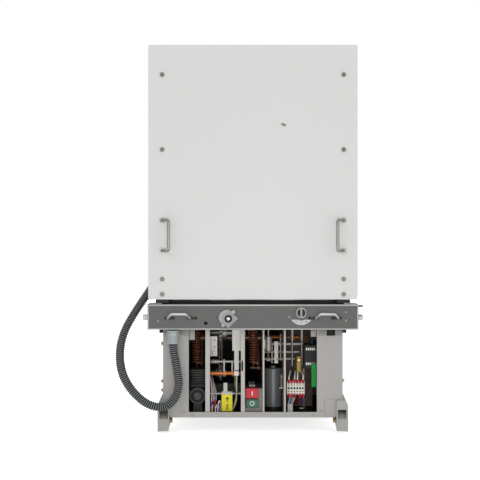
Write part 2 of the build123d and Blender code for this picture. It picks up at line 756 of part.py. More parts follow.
def bottle(x):
    """A vacuum interrupter: ceramic tube, metal end cups, fixed stem and fixed contact."""
    with BuildPart() as tube:
        with BuildSketch(Plane.XZ) as outline:
            with BuildLine():
                Polyline((stem_radius + running, bottle_bottom),
                         (bottle_radius - 8, bottle_bottom),
                         (bottle_radius - 8, bottle_bottom + 14),
                         (bottle_radius, bottle_bottom + 20), (bottle_radius, bottle_top - 20),
                         (bottle_radius - 8, bottle_top - 14), (bottle_radius - 8, bottle_top),
                         (stem_radius, bottle_top), (stem_radius, upper_arm_z - block_height / 2),
                         (0, upper_arm_z - block_height / 2), (0, contact_face),
                         (24, contact_face), (24, contact_face + 8),
                         (stem_radius, contact_face + 14), (stem_radius, bottle_top - 8),
                         (bottle_radius - 8 - bottle_wall, bottle_top - 8),
                         (bottle_radius - bottle_wall, bottle_top - 24),
                         (bottle_radius - bottle_wall, bottle_bottom + 24),
                         (bottle_radius - 8 - bottle_wall, cavity_low),
                         (stem_radius + running, cavity_low), close=True)
            make_face()
        revolve(axis=Axis.Z)
    return tube.part.translate((x, pole_y, 0))


with BuildPart() as vacuum_bottles:
    for x in pole_xs:
        add(bottle(x))
finish(vacuum_bottles.part, "vacuum_bottles")


def terminal(x, z, bore):
    """A contact arm: copper block on the pole's axis with a round arm running to the rear."""
    with BuildPart() as arm:
        box_between(x - block_half, x + block_half, pole_y - block_half, pole_y + block_half + 20,
                    z - block_height / 2, z + block_height / 2)
        rod_along("Y", (x, (pole_y + arm_end) / 2 + 20, z), arm_radius, arm_end - pole_y - 40)
        chamfer(arm.faces().sort_by(Axis.Y)[-1].edges(), 2)
        if bore:
            rod_along("Z", (x, pole_y, z), stem_radius + running, 2 * block_height,
                      mode=Mode.SUBTRACT)
        side_reach = trough_half - trough_wall
        for side in (-1, 1):
            box_between(x + side * block_half, x + side * side_reach, pole_y - 14, pole_y + 14,
                        z - 12, z + 12)
    return arm.part


with BuildPart() as lower_terminals:
    for x in pole_xs:
        add(terminal(x, lower_arm_z, True))
finish(lower_terminals.part, "lower_terminals")

with BuildPart() as upper_terminals:
    for x in pole_xs:
        add(terminal(x, upper_arm_z, False))
finish(upper_terminals.part, "upper_terminals")

tulip_step = arm_end + 2.0  # where the arm's seat opens to the bore for the fixed contact


def tulip():
    """A tulip contact on the Y axis: a sprung ring of fingers, parted by slits to the front."""
    with BuildPart() as ring:
        with BuildSketch(Plane.XY):
            with BuildLine():
                Polyline((arm_radius, tulip_start), (tulip_outer - 8, tulip_start),
                         (tulip_outer - 4, tulip_start + 10), (tulip_outer, tulip_start + 14),
                         (tulip_outer, tulip_start + 26), (tulip_outer - 5, tulip_start + 30),
                         (tulip_outer - 5, tulip_end - 16), (tulip_outer, tulip_end - 12),
                         (tulip_outer, tulip_end - 2), (tulip_outer - 2, tulip_end),
                         (tulip_bore, tulip_end), (tulip_bore, tulip_step),
                         (arm_radius, tulip_step), close=True)
            make_face()
        revolve(axis=Axis.Y)
        with BuildSketch(Plane(origin=(0, tulip_end, 0), x_dir=(1, 0, 0), z_dir=(0, 1, 0))):
            with PolarLocations((tulip_bore + tulip_outer) / 2, tulip_slits):
                Rectangle(tulip_outer - tulip_bore + 6, slit_width)
        extrude(amount=tulip_step - tulip_end + 6, mode=Mode.SUBTRACT)
    return ring.part


one_tulip = tulip()
with BuildPart() as tulip_contacts:
    for x in pole_xs:
        for z in (lower_arm_z, upper_arm_z):
            add(one_tulip.translate((x, 0, z)))
finish(tulip_contacts.part, "tulip_contacts")

insulator_low = 430.0
insulator_high = 540.0
insulator_radius = 17.0
clevis_half = 13.0
clevis_gap = 7.5


def pull_rod(x):
    """The insulated pull rod: slotted clevis, steel rod and a ribbed moulded insulator."""
    with BuildPart() as rod:
        bridge_z = shaft_z + 16
        box_between(x - clevis_half, x + clevis_half, pole_y - 10, pole_y + 10,
                    rod_pin_z - 12, bridge_z + 10)
        box_between(x - clevis_gap, x + clevis_gap, pole_y - 11, pole_y + 11,
                    rod_pin_z - 13, bridge_z, mode=Mode.SUBTRACT)
        with BuildSketch(Plane(origin=(x, pole_y, rod_pin_z), x_dir=(0, 1, 0), z_dir=(1, 0, 0))):
            SlotOverall(2 * lever_pin + 3, 2 * lever_pin + 0.2)
        extrude(amount=2 * clevis_half, both=True, mode=Mode.SUBTRACT)
        rod_along("Z", (x, pole_y, (bridge_z + 10 + insulator_low) / 2), 7,
                  insulator_low - bridge_z - 10)
    with BuildPart() as barrel:
        with BuildSketch(Plane.XZ):
            with BuildLine():
                Polyline((0, insulator_low), (insulator_radius, insulator_low),
                         (insulator_radius, insulator_low + 18),
                         (insulator_radius + 7, insulator_low + 30),
                         (insulator_radius, insulator_low + 34),
                         (insulator_radius, insulator_low + 48),
                         (insulator_radius + 7, insulator_low + 60),
                         (insulator_radius, insulator_low + 64),
                         (insulator_radius, insulator_high), (0, insulator_high), close=True)
            make_face()
        revolve(axis=Axis.Z)
    with BuildPart() as whole:
        add(rod.part)
        add(barrel.part.translate((x, pole_y, 0)))
    return whole.part


def contact_stem(x):
    """The moving stem with its contact disc, open by the contact gap."""
    face = contact_face - contact_gap
    with BuildPart() as stem:
        rod_along("Z", (x, pole_y, (insulator_high + face) / 2), stem_radius,
                  face - insulator_high)
        rod_along("Z", (x, pole_y, face - 4), 24, 8)
        rod_along("Z", (x, pole_y, insulator_high + 6), 15, 12)
    return stem.part


for name, x in zip("abc", pole_xs):
    finish(pull_rod(x), f"pull_rod_{name}")
    finish(contact_stem(x), f"contact_stem_{name}")

# ---------------------------------------------------------------- main shaft and springs
with BuildPart() as main_shaft:
    rod_along("X", (0, shaft_y, shaft_z), shaft_radius, box_width - 1)
    for x in pole_xs:
        rod_along("X", (x, shaft_y, shaft_z), shaft_radius + 7, 24)
        with BuildSketch(Plane(origin=(x, 0, 0), x_dir=(0, 1, 0), z_dir=(1, 0, 0))):
            tip = (pole_y - lever_length * (1 - cos(radians(lever_start))), rod_pin_z)
            with BuildLine():
                Polyline((shaft_y, shaft_z + 14), tip[0:1] + (tip[1] + 9,),
                         tip[0:1] + (tip[1] - 9,), (shaft_y, shaft_z - 14), close=True)
            make_face()
            with Locations(tip):
                Circle(9)
        extrude(amount=lever_sheet / 2, both=True)
        rod_along("X", (x,) + tip, lever_pin, 2 * clevis_half + 2)
    for x in spring_xs:
        lever_x = x + 17
        with BuildSketch(Plane(origin=(lever_x, 0, 0), x_dir=(0, 1, 0), z_dir=(1, 0, 0))):
            with BuildLine():
                Polyline((shaft_y - 14, shaft_z - 4), (spring_pin_y - 8, spring_pin_z - 2),
                         (spring_pin_y + 8, spring_pin_z - 6), (shaft_y + 14, shaft_z - 4),
                         close=True)
            make_face()
            with Locations((spring_pin_y, spring_pin_z)):
                Circle(8)
            with Locations((shaft_y, shaft_z)):
                Circle(18)
        extrude(amount=lever_sheet / 2, both=True)
        rod_along("X", (x + 8, spring_pin_y, spring_pin_z), 3.5, 34)
finish(main_shaft.part, "main_shaft")


def coil_points():
    """Corner points of the faceted coil, from its lower hook to its upper one."""
    count = spring_turns * spring_sides
    rise = spring_pitch / spring_sides
    return [(spring_radius * cos(2 * pi * i / spring_sides),
             spring_radius * sin(2 * pi * i / spring_sides), i * rise)
            for i in range(count + 1)]


def opening_spring():
    """An extension spring of square-sided turns, with straight hooked ends on its axis."""
    points = coil_points()
    top = points[-1][2]
    path = [(0, 0, -16 + 4.2)] + [(0, 0, -4)] + points + [(0, 0, top + 4), (0, 0, top + 24)]
    with BuildPart() as spring:
        with BuildLine():
            Polyline(*path)
        with BuildSketch(Plane(origin=path[0], z_dir=(0, 0, 1))):
            RegularPolygon(spring_wire / 2, 4)
        sweep(transition=Transition.RIGHT)
    return spring.part


one_spring = opening_spring()
for name, x in zip(("left", "centre"), spring_xs):
    finish(one_spring.translate((x, spring_pin_y, coil_low)), f"opening_spring_{name}")

# ---------------------------------------------------------------- charging drive


def sprocket(teeth, pitch_radius, bore_axis):
    """A chain wheel on the X axis at a (y, z) centre, its tooth gaps cut clear of the rollers."""
    y, z = bore_axis
    with BuildPart() as disc:
        with BuildSketch(Plane(origin=(chain_x, y, z), x_dir=(0, 1, 0), z_dir=(1, 0, 0))):
            RegularPolygon(pitch_radius + 3, 2 * teeth, major_radius=False,
                           rotation=90 / teeth)
            with PolarLocations(pitch_radius, teeth):
                RegularPolygon(5.2, 6, mode=Mode.SUBTRACT)
        extrude(amount=sprocket_width / 2, both=True)
    return disc.part


with BuildPart() as cam_shaft:
    rod_along("X", ((left_web + middle_web) / 2, cam_y, cam_z), cam_shaft_radius, 128)
    rod_along("X", (chain_x + 8, cam_y, cam_z), 20, 21)
    add(sprocket(cam_teeth, cam_radius, (cam_y, cam_z)))
    with BuildSketch(Plane(origin=(-60, cam_y, cam_z), x_dir=(0, 1, 0), z_dir=(1, 0, 0))):
        Circle(20)
        with Locations((0, -22)):
            Circle(12)
        make_hull()
    extrude(amount=6, both=True)
finish(cam_shaft.part, "cam_shaft")

gearbox_face = -152.0
with BuildPart() as motor_sprocket:
    shaft_end = gearbox_face - 18
    rod_along("X", ((shaft_end + chain_x + 6) / 2, motor_shaft_y, motor_shaft_z),
              motor_shaft_radius, chain_x + 6 - shaft_end)
    rod_along("X", (chain_x - 9, motor_shaft_y, motor_shaft_z), 12, 14)
    add(sprocket(motor_teeth, motor_radius, (motor_shaft_y, motor_shaft_z)))
finish(motor_sprocket.part, "motor_sprocket")

centres = sqrt((cam_y - motor_shaft_y) ** 2 + (cam_z - motor_shaft_z) ** 2)
lean = degrees(asin((cam_radius - motor_radius) / centres))
line_angle = 90 - lean
straight = sqrt(centres**2 - (cam_radius - motor_radius) ** 2)


def chain_point(travel):
    """The point on the chain's pitch line a given distance along it from the front run's foot."""
    big_arc = radians(180 + 2 * lean) * cam_radius
    small_arc = radians(180 - 2 * lean) * motor_radius
    travel %= 2 * straight + big_arc + small_arc
    if travel < straight:
        return chain_front_y, motor_shaft_z + travel
    travel -= straight
    if travel < big_arc:
        angle = pi - travel / cam_radius
        return cam_y + cam_radius * cos(angle), cam_z + cam_radius * sin(angle)
    travel -= big_arc
    leave = pi - big_arc / cam_radius
    if travel < straight:
        return (cam_y + cam_radius * cos(leave) + travel * sin(leave),
                cam_z + cam_radius * sin(leave) - travel * cos(leave))
    angle = leave - (travel - straight) / motor_radius
    return (motor_shaft_y + motor_radius * cos(angle), motor_shaft_z + motor_radius * sin(angle))


chain_links = 38
chain_length = (2 * straight + radians(180 + 2 * lean) * cam_radius
                + radians(180 - 2 * lean) * motor_radius)
plate_thickness = 1.5
plate_reach = 5.5
with BuildPart() as drive_chain:
    loop = [chain_point(n * chain_length / chain_links) for n in range(chain_links)]
    for side in (-1, 1):
        face_x = chain_x + side * (sprocket_width / 2 + 1)
        with BuildSketch(Plane(origin=(face_x, 0, 0), x_dir=(0, 1, 0), z_dir=(1, 0, 0))):
            with BuildLine():
                Polyline(*loop, close=True)
            make_face()
            offset(amount=plate_reach, kind=Kind.INTERSECTION)
            with BuildLine():
                Polyline(*loop, close=True)
            make_face(mode=Mode.PRIVATE)
        extrude(amount=side * plate_thickness)
    with BuildSketch(Plane(origin=(chain_x, 0, 0), x_dir=(0, 1, 0), z_dir=(1, 0, 0))) as opening:
        with BuildLine():
            Polyline(*loop, close=True)
        make_face()
        offset(amount=-plate_reach, kind=Kind.INTERSECTION)
    extrude(amount=20, both=True, mode=Mode.SUBTRACT)
    for y, z in loop:
        with BuildSketch(Plane(origin=(chain_x, y, z), x_dir=(0, 1, 0), z_dir=(1, 0, 0))):
            RegularPolygon(2.4, 6)
    extrude(amount=sprocket_width / 2 + 3, both=True)
finish(drive_chain.part, "drive_chain")

with BuildPart() as charging_motor:
    box_between(-197, gearbox_face, -200, -118, 133, 187)
    for n in range(4):
        box_between(-198, gearbox_face + 1, -201, -192, 141 + n * 11, 146 + n * 11,
                    mode=Mode.SUBTRACT)
    rod_along("Y", (-174, -145, 108), 25.5, 160)
    rod_along("Y", (-174, -228, 108), 12, 8)
    box_between(-188, -160, -200, -100, box_bottom + sheet, 96)
    rod_along("X", (gearbox_face, motor_shaft_y, motor_shaft_z), motor_shaft_radius + running,
              42, mode=Mode.SUBTRACT)
finish(charging_motor.part, "charging_motor")

barrel_x = 67.0
barrel_y = -150.0
with BuildPart() as closing_spring_barrel:
    rod_along("Z", (barrel_x, barrel_y, 127), 28, 122)
    rod_along("Z", (barrel_x, barrel_y, 57.75), 30, 16.5)
    rod_along("Z", (barrel_x, barrel_y, 191), 9, 8)
    fillet(closing_spring_barrel.edges().group_by(Axis.Z)[-3:-2], 2)
finish(closing_spring_barrel.part, "closing_spring_barrel")

# ---------------------------------------------------------------- latches, trips, controls
partition_face = thin_partition_xs[0] + thin_partition_sheet / 2
with BuildPart() as dashpot:
    rod_along("Z", (50, -200, 269), 11.5, 48)
    rod_along("Z", (50, -200, 268), 3, 96)
    box_between(partition_face, 42, -206, -194, 256, 284)
    box_between(44, 56, -206, -194, 216, 224)
finish(dashpot.part, "dashpot")

inner_left = left_web + partition_sheet / 2
inner_middle = middle_web - partition_sheet / 2
last_face = thin_partition_xs[1] + thin_partition_sheet / 2
flag_y = -228.0
flag_z = 116.0
with BuildPart() as trip_linkage:
    span = inner_middle - inner_left
    for y, z, radius in ((-200, 214, 4), (-205, 177, 6), (flag_y, flag_z, 3)):
        rod_along("X", ((inner_left + inner_middle) / 2, y, z), radius, span)
    for x in (-88, -62):
        rod_along("X", (x, -205, 177), 9.5, 9)
    box_between(inner_left, -112, -228, -190, 234, 296)
    rod_along("Y", (-122, -230, 244), 8, 4)
    box_between(-64, inner_middle, -240, -236, 252, 317)
    box_between(-58, -44, -236, -232, 190, 256)
    for z, radius, x_end in ((267, 5, 162), (241, 4, 150), (219, 4, 135)):
        rod_along("X", ((partition_face + thin_partition_xs[1] - 2.5) / 2, -165, z), radius,
                  thin_partition_xs[1] - 2.5 - partition_face)
        rod_along("X", ((last_face + x_end) / 2, -165, z), radius, x_end - last_face)
    box_between(70, 82, -172, -158, 205, 275)
    for x in (127, 158):
        rod_along("Z", (x, -176, (197 + deck_under) / 2), 2.5, deck_under - 197)
        rod_along("Z", (x, -176, 297), 5.5, 34)
finish(trip_linkage.part, "trip_linkage")

with BuildPart() as charge_indicator:
    rod_along("X", (-81, flag_y, flag_z), 7, 34)
    box_between(-98, -64, -236, -234, 62, 114)
    box_between(-98, -64, -235, flag_y, 110, 114)
    box_between(-92, -80, -231, -227, flag_z + 4, 150)
    rod_along("X", (-81, flag_y, flag_z), 3 + running, 60, mode=Mode.SUBTRACT)
finish(charge_indicator.part, "charge_indicator")

bracket_front = -232.0
stem_bore = 5.0
button_centre = -2.0
with BuildPart() as button_bracket:
    left_face = middle_web + partition_sheet / 2
    right_face = thin_partition_xs[0] - thin_partition_sheet / 2
    box_between(left_face, right_face, bracket_front, bracket_front + 3, 60, 130)
    box_between(left_face, right_face, -238, -204, 128, 131)
    for z in (89, 121):
        rod_along("Y", (button_centre, bracket_front, z), stem_bore + running, 20,
                  mode=Mode.SUBTRACT)
finish(button_bracket.part, "button_bracket")


def push_button(z, height, front):
    """A rectangular push button with a round stem through the bracket."""
    with BuildPart() as button:
        box_between(button_centre - 19, button_centre + 19, front, front + 15,
                    z - height / 2, z + height / 2)
        fillet(button.faces().sort_by(Axis.Y)[0].edges(), 1.5)
        rod_along("Y", (button_centre, (front - 212) / 2 + 5, z if z < 100 else 121), stem_bore,
                  -212 - front - 10)
    return button.part


finish(push_button(121, 31, -262), "close_button")
finish(push_button(89, 27, -256), "open_button")

with BuildPart() as operations_counter:
    box_between(-14, 6, -236, -206, 131, 154)
    box_between(-11, 3, -237, -235, 137, 149)
finish(operations_counter.part, "operations_counter")

with BuildPart() as terminal_block:
    box_between(109, 164, -215, -186, 111, 150)
    for n in range(7):
        box_between(109 + n * 9, 110 + n * 9, -218, -186, 111, 153)
    box_between(112, 128, -192, -186, box_bottom + sheet, 112)
    box_between(141, 154, -194, -188, 149, 229)
finish(terminal_block.part, "terminal_block")

with BuildPart() as auxiliary_switch:
    box_between(164, 199, -225, -150, 196, 268)
    box_between(184, 196, -180, -160, 267, deck_under)
    box_between(185, 199, -240, -224, 138, 211)
finish(auxiliary_switch.part, "auxiliary_switch")

with BuildPart() as side_bolts:
    for side, heights in ((-1, (128, 156, 274)), (1, (158,))):
        for z in heights:
            hexagon_along("X", (side * (half_box + 2.5), -230, z), 13, 5)
            rod_along("X", (side * (half_box + 6), -230, z), 4, 6)
    add(axle_bolts.part)
finish(side_bolts.part, "truck_bolts")

# ---------------------------------------------------------------- control hose
with BuildPart() as hose_fitting:
    box_between(fitting_x - 17, fitting_x + 17, fitting_y - 17, box_front, 316.5, 319.5)
    rod_along("Z", (fitting_x, fitting_y, (fitting_bottom + 316.5) / 2), fitting_radius,
              316.5 - fitting_bottom)
    hexagon_along("Z", (fitting_x, fitting_y, 309), 36, 9)
finish(hose_fitting.part, "hose_fitting")

hose_route = [(fitting_x, fitting_y, fitting_bottom), (fitting_x, fitting_y, 262),
              (-236, -294, 205), (-226, -298, 140), (-258, -305, 84), (-322, -303, 86),
              (-387, -284, 142), (-419, -254, 210), (-415, -218, 300), (-360, -198, 394),
              (-314, -205, 455), (plug_x, plug_y, 505), (plug_x, plug_y, plug_bottom)]


def bend_radii(points):
    """The tightest arcs that a route's corners need, each from its shorter neighbouring run."""
    radii = []
    for a, b, c in zip(points, points[1:], points[2:]):
        before, after = Vector(*b) - Vector(*a), Vector(*c) - Vector(*b)
        half_turn = radians(before.get_angle(after)) / 2
        radii.append(0.45 * min(before.length, after.length) / tan(half_turn))
    return radii


with BuildPart() as control_hose:
    with BuildLine() as hose_line:
        FilletPolyline(*hose_route, radius=bend_radii(hose_route))
    with BuildSketch(Plane(origin=hose_line.line @ 0, z_dir=hose_line.line % 0)):
        Circle(hose_radius)
    sweep()
finish(control_hose.part, "control_hose")
print("hose length", round(hose_line.wires()[0].length, 1))

with BuildPart() as control_plug:
    with BuildSketch(Plane.XY.offset(plug_bottom)):
        with Locations((plug_x, plug_y)):
            RectangleRounded(*plug_size, 5)
    extrude(amount=flange_z - plug_bottom)
    with BuildSketch(Plane.XY.offset(flange_z)):
        with Locations((plug_x, plug_y)):
            RectangleRounded(plug_size[0] + 7, plug_size[1] + 7, 6)
    extrude(amount=8)
    with BuildSketch(Plane.XY.offset(flange_z + 8)):
        with Locations((plug_x, plug_y)):
            RectangleRounded(plug_size[0] - 6, plug_size[1] - 6, 4)
    extrude(amount=14)
finish(control_plug.part, "control_plug")
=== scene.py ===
# %% [markdown]
# # Vacuum circuit breaker on its truck
# The breaker stands on four small wheels. A sheet-steel box holds its spring mechanism, a
# galvanised crossbar racks the truck in and out, and a tall coated plate hides the three pole
# units behind it. The solid parts come from the CAD frame, so this script gives them their
# finishes and adds what CAD leaves out: the ribbed hose, coil springs, wiring and small trim.

# %% Frame
from math import cos, pi, radians, sin

import bmesh
import bpy
from mathutils import Matrix, Vector


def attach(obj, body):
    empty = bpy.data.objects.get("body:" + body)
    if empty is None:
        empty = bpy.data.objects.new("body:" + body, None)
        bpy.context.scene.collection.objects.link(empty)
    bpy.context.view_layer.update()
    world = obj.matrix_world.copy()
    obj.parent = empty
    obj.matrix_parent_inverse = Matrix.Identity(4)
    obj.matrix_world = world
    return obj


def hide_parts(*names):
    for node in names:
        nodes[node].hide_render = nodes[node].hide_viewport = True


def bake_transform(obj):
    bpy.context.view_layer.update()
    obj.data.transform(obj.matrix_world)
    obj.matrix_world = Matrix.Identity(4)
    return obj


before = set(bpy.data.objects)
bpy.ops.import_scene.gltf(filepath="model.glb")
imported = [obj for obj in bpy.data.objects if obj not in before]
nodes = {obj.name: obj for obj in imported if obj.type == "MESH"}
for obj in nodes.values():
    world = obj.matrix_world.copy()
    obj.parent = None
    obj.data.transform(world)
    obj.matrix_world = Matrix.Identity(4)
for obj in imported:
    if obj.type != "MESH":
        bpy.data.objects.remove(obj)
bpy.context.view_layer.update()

MM = 0.001
print("CAD nodes:", len(nodes))

# %% [markdown]
# ## How a finish is built
# Every finish is made of nodes that read Object coordinates, which are metres here, so a grain
# size can be given in real millimetres. Colours are written as the sRGB hex values a painter
# would name, and one function turns them into the linear numbers that light works with.


# %% Colour and node helpers
def linear(hex_colour):
    """Linear RGBA from an sRGB hex value such as "D6D6D4"."""
    channels = [int(hex_colour[i:i + 2], 16) / 255 for i in (0, 2, 4)]
    return tuple(c / 12.92 if c <= 0.04045 else ((c + 0.055) / 1.055) ** 2.4
                 for c in channels) + (1.0,)


def shade(colour, factor):
    """A lighter or darker version of a linear colour."""
    return tuple(min(1.0, c * factor) for c in colour[:3]) + (1.0,)


def add_node(tree, kind, settings=None, values=None, links=None):
    """Adds a node, sets its properties and input values, and links sockets to its inputs."""
    made = tree.nodes.new(kind)
    for key, value in (settings or {}).items():
        setattr(made, key, value)
    for key, value in (values or {}).items():
        made.inputs[key].default_value = value
    for key, socket in (links or {}).items():
        tree.links.new(socket, made.inputs[key])
    return made


print("powder coat grey:", [round(c, 3) for c in linear("D9D9D8")])


# %% [markdown]
# Sheet, castings and plastics all share one recipe. A soft noise shifts the colour a few per
# cent, as uneven coating and handling do. The same noise moves the roughness, so highlights
# break up. A second, fine noise is the grain of the surface in the bump. Where the edges wear,
# Pointiness finds the corners and shows the lighter metal or primer there. Mix nodes are fed by
# socket number: 0 is the factor, 6 and 7 are the two colours, and output 2 is the result.


# %% The shared recipe
gloss_swing = 0.1              # how far the roughness drifts either way
grain_height = 0.5 * MM
corner_start, corner_full = 0.52, 0.62   # Pointiness where wear begins and is complete
worn_lift = 1.6                # worn corners are this much lighter
lowest_roughness = 0.04


def finish(name, colour, metallic=0.0, roughness=0.5, ior=1.5, patch_mm=60, grain_mm=1.5,
           vary=0.05, relief=0.1, edge=0.0, coat=0.0):
    """A procedural material: mottled colour, uneven roughness, grain relief and worn edges."""
    material = bpy.data.materials.new(name)
    material.use_nodes = True
    tree = material.node_tree
    shader = tree.nodes["Principled BSDF"]
    shader.inputs["Metallic"].default_value = metallic
    shader.inputs["Coat Weight"].default_value = coat
    if not metallic:
        shader.inputs["IOR"].default_value = ior
    base = linear(colour)
    place = add_node(tree, "ShaderNodeTexCoord")
    patches = add_node(tree, "ShaderNodeTexNoise",
                       values={"Scale": 1 / (patch_mm * MM), "Detail": 5},
                       links={"Vector": place.outputs["Object"]})
    tone = add_node(tree, "ShaderNodeMix", {"data_type": "RGBA"},
                    {6: shade(base, 1 - vary), 7: shade(base, 1 + vary)},
                    {0: patches.outputs["Fac"]})
    tone.name = "tone"
    colour_out = tone.outputs[2]
    if edge:
        corners = add_node(tree, "ShaderNodeNewGeometry")
        worn = add_node(tree, "ShaderNodeMapRange",
                        values={"From Min": corner_start, "From Max": corner_full,
                                "To Max": edge},
                        links={"Value": corners.outputs["Pointiness"]})
        rim = add_node(tree, "ShaderNodeMix", {"data_type": "RGBA"},
                       {7: shade(base, worn_lift)}, {0: worn.outputs["Result"], 6: colour_out})
        colour_out = rim.outputs[2]
    tree.links.new(colour_out, shader.inputs["Base Color"])
    polish = add_node(tree, "ShaderNodeMapRange",
                      values={"To Min": max(lowest_roughness, roughness - gloss_swing),
                              "To Max": roughness + gloss_swing},
                      links={"Value": patches.outputs["Fac"]})
    tree.links.new(polish.outputs["Result"], shader.inputs["Roughness"])
    grain = add_node(tree, "ShaderNodeTexNoise", values={"Scale": 1 / (grain_mm * MM)},
                     links={"Vector": place.outputs["Object"]})
    bump = add_node(tree, "ShaderNodeBump", values={"Strength": relief, "Distance": grain_height},
                    links={"Height": grain.outputs["Fac"]})
    tree.links.new(bump.outputs["Normal"], shader.inputs["Normal"])
    return material


print("recipe ready, roughness swings by", gloss_swing)

# %% [markdown]
# ## Painted and coated steel
# The front plate is powder coated: a fine orange-peel skin over sheet, almost without colour
# change. The box is stove enamelled a little darker and chips at its folds. The inner plates
# are the same enamel, greyed by dust and oil.

# %% Painted finishes
# Powder coat: an even matt skin whose orange peel softens every reflection.
powder_coat = finish("powder_coated_steel", "D9D9D8", roughness=0.42, patch_mm=220, grain_mm=2.5,
                     vary=0.02, relief=0.12, edge=0.1)
# Stove enamel: smoother and greyer, with brighter folds where it is rubbed.
enamel = finish("enamelled_sheet_steel", "A09E9A", roughness=0.42, patch_mm=120, vary=0.03,
                relief=0.08, edge=0.25)
# The same enamel under dust: blotchy and dull.
dusty_enamel = finish("dusty_enamelled_plate", "BFBAB3", roughness=0.5, patch_mm=50, vary=0.07)
# Enamel in a recess, painted a darker, flat grey for the shade that falls there.
recess_shade_enamel = finish("shaded_enamel", "93908C", roughness=0.5, vary=0.06)
# Black paint: its IOR is below the usual 1.5, so that the white surround doesn't grey it.
black_paint = finish("black_painted_steel", "1C1C1D", roughness=0.55, ior=1.35, vary=0.1,
                     edge=0.5)
# Painted motor casting: nearly black, lighter on the machined corners.
motor_paint = finish("grey_painted_casting", "2C2C2E", roughness=0.45, vary=0.1, edge=0.4)
# Painted drawn tube: smooth enough to carry one long highlight.
barrel_paint = finish("grey_painted_tube", "808285", metallic=0.2, roughness=0.32, vary=0.05)
# Enamelled signal plate: one flat, saturated colour.
signal_yellow = finish("yellow_enamelled_plate", "EEE000", roughness=0.4, vary=0.03)
print("finishes so far:", len(bpy.data.materials))

# %% [markdown]
# ## Bare and plated metal
# Hot-dip galvanised sheet shows zinc crystals, each with its own tint, so a Voronoi pattern of
# about 9 mm cells multiplies its colour. Shafts are turned steel, bolts are yellow passivated
# zinc whose colour drifts from straw to green, and the current path is copper.

# %% Metal finishes
# Galvanised sheet: a dull grey that breaks into crystals, here 9 mm wide.
spangle_mm, spangle_share = 9, 0.3
galvanised = finish("galvanised_steel", "5E5D5C", metallic=0.3, roughness=0.46, patch_mm=14,
                    vary=0.2)
tree = galvanised.node_tree
cells = add_node(tree, "ShaderNodeTexVoronoi", values={"Scale": 1 / (spangle_mm * MM)})
grey = add_node(tree, "ShaderNodeRGBToBW", links={"Color": cells.outputs["Color"]})
tint = add_node(tree, "ShaderNodeMix", {"data_type": "RGBA", "blend_type": "MULTIPLY"},
                {0: spangle_share},
                {6: tree.nodes["tone"].outputs[2], 7: grey.outputs["Val"]})
tree.links.new(tint.outputs[2], tree.nodes["Principled BSDF"].inputs["Base Color"])

# A fold of the same sheet, lighter by a painted highlight: it reads as a light line. The position
# scale takes the same zinc as its own colour.
scale_zinc_and_fold_highlight = finish("zinc_scale_and_fold_highlight", "A6A6A4", metallic=0.4, roughness=0.4)
# Zinc die casting: satin, soft-edged and a little patchy.
zinc_cast = finish("zinc_die_casting", "8E8E8C", metallic=0.25, roughness=0.42, vary=0.08,
                   edge=0.5)
# Turned steel with an oil film: soft grey shine.
turned_steel = finish("turned_steel", "A6A4A0", metallic=0.45, roughness=0.36, patch_mm=22)
# Bright zinc plating: cleaner and sharper in its highlights than galvanising.
bright_zinc = finish("zinc_plated_steel", "B8B8B6", metallic=0.55, roughness=0.28, edge=0.4)
# Polished stainless rod: a true mirror metal, bright and dark along its length.
stainless = finish("stainless_rod", "8E8A85", metallic=1.0, roughness=0.24, patch_mm=12)
# Yellow passivation: straw that drifts to green and brown in small patches.
yellow_zinc = finish("yellow_passivated_zinc", "A8915F", metallic=0.8, roughness=0.35,
                     patch_mm=8, vary=0.25)
# Browned shaft steel: warm and uneven.
browned_steel = finish("browned_steel", "A58474", metallic=0.6, roughness=0.4, vary=0.2)
# Blackened screws: brown-grey where the black has worn through.
screw_steel = finish("blackened_screw_steel", "7C726A", metallic=0.6, roughness=0.4, vary=0.2)
# Oiled chain: dark links with bright corners.
oiled_chain = finish("oiled_chain_steel", "5A5550", metallic=0.5, roughness=0.4, edge=0.6)
# Turned cast iron: grey and dull, with no mirror image in it.
wheel_iron = finish("turned_cast_iron", "858583", metallic=0.4, roughness=0.5, edge=0.5)
# Spring steel under copper-coloured varnish: warm, wet-looking wire.
spring_wire = finish("varnished_spring_steel", "D98C66", metallic=0.3, roughness=0.25,
                     patch_mm=14, vary=0.25, coat=0.6)
# Silvered copper that has been handled: pale rose metal.
copper = finish("silvered_copper", "F0B893", metallic=0.95, roughness=0.3, vary=0.08)
# Shafts in red oxide paint over steel: orange with a metal glint.
copper_shaft = finish("red_oxide_shaft", "C87039", metallic=0.4, roughness=0.35, vary=0.15)
print("finishes so far:", len(bpy.data.materials))

# %% [markdown]
# ## Plastics, ceramic and insulation
# Buttons are glossy ABS, the terminals and connectors matt polyamide, the hose polyamide 6 with
# a waxy sheen. The pole troughs are filled epoxy, dull brown with fine moulding grain, and the
# interrupter bottles are glazed alumina.

# %% Plastic finishes
# Moulded ABS buttons: saturated, with a thin gloss on top.
red_abs = finish("red_abs", "C2001A", roughness=0.38, coat=0.1, vary=0.04)
green_abs = finish("green_abs", "175F4B", roughness=0.38, coat=0.1, vary=0.05)
# White ABS: clean and nearly even.
white_abs = finish("white_abs", "F4F4F2", roughness=0.42, vary=0.02)
# Moulded polyamide: matt and slightly waxy, in four colours.
cream_polyamide = finish("cream_polyamide", "FBFBF6", roughness=0.45, vary=0.02)
black_polyamide = finish("black_polyamide", "1D1D1F", roughness=0.5, ior=1.35, vary=0.1)
grey_polyamide = finish("grey_polyamide", "A4AAAD", roughness=0.4, vary=0.04, edge=0.3)
green_polyamide = finish("green_polyamide", "11A247", roughness=0.35, vary=0.06)
# Extruded PVC sleeve: soft sheen.
blue_pvc = finish("blue_pvc", "2A4FA0", roughness=0.4)
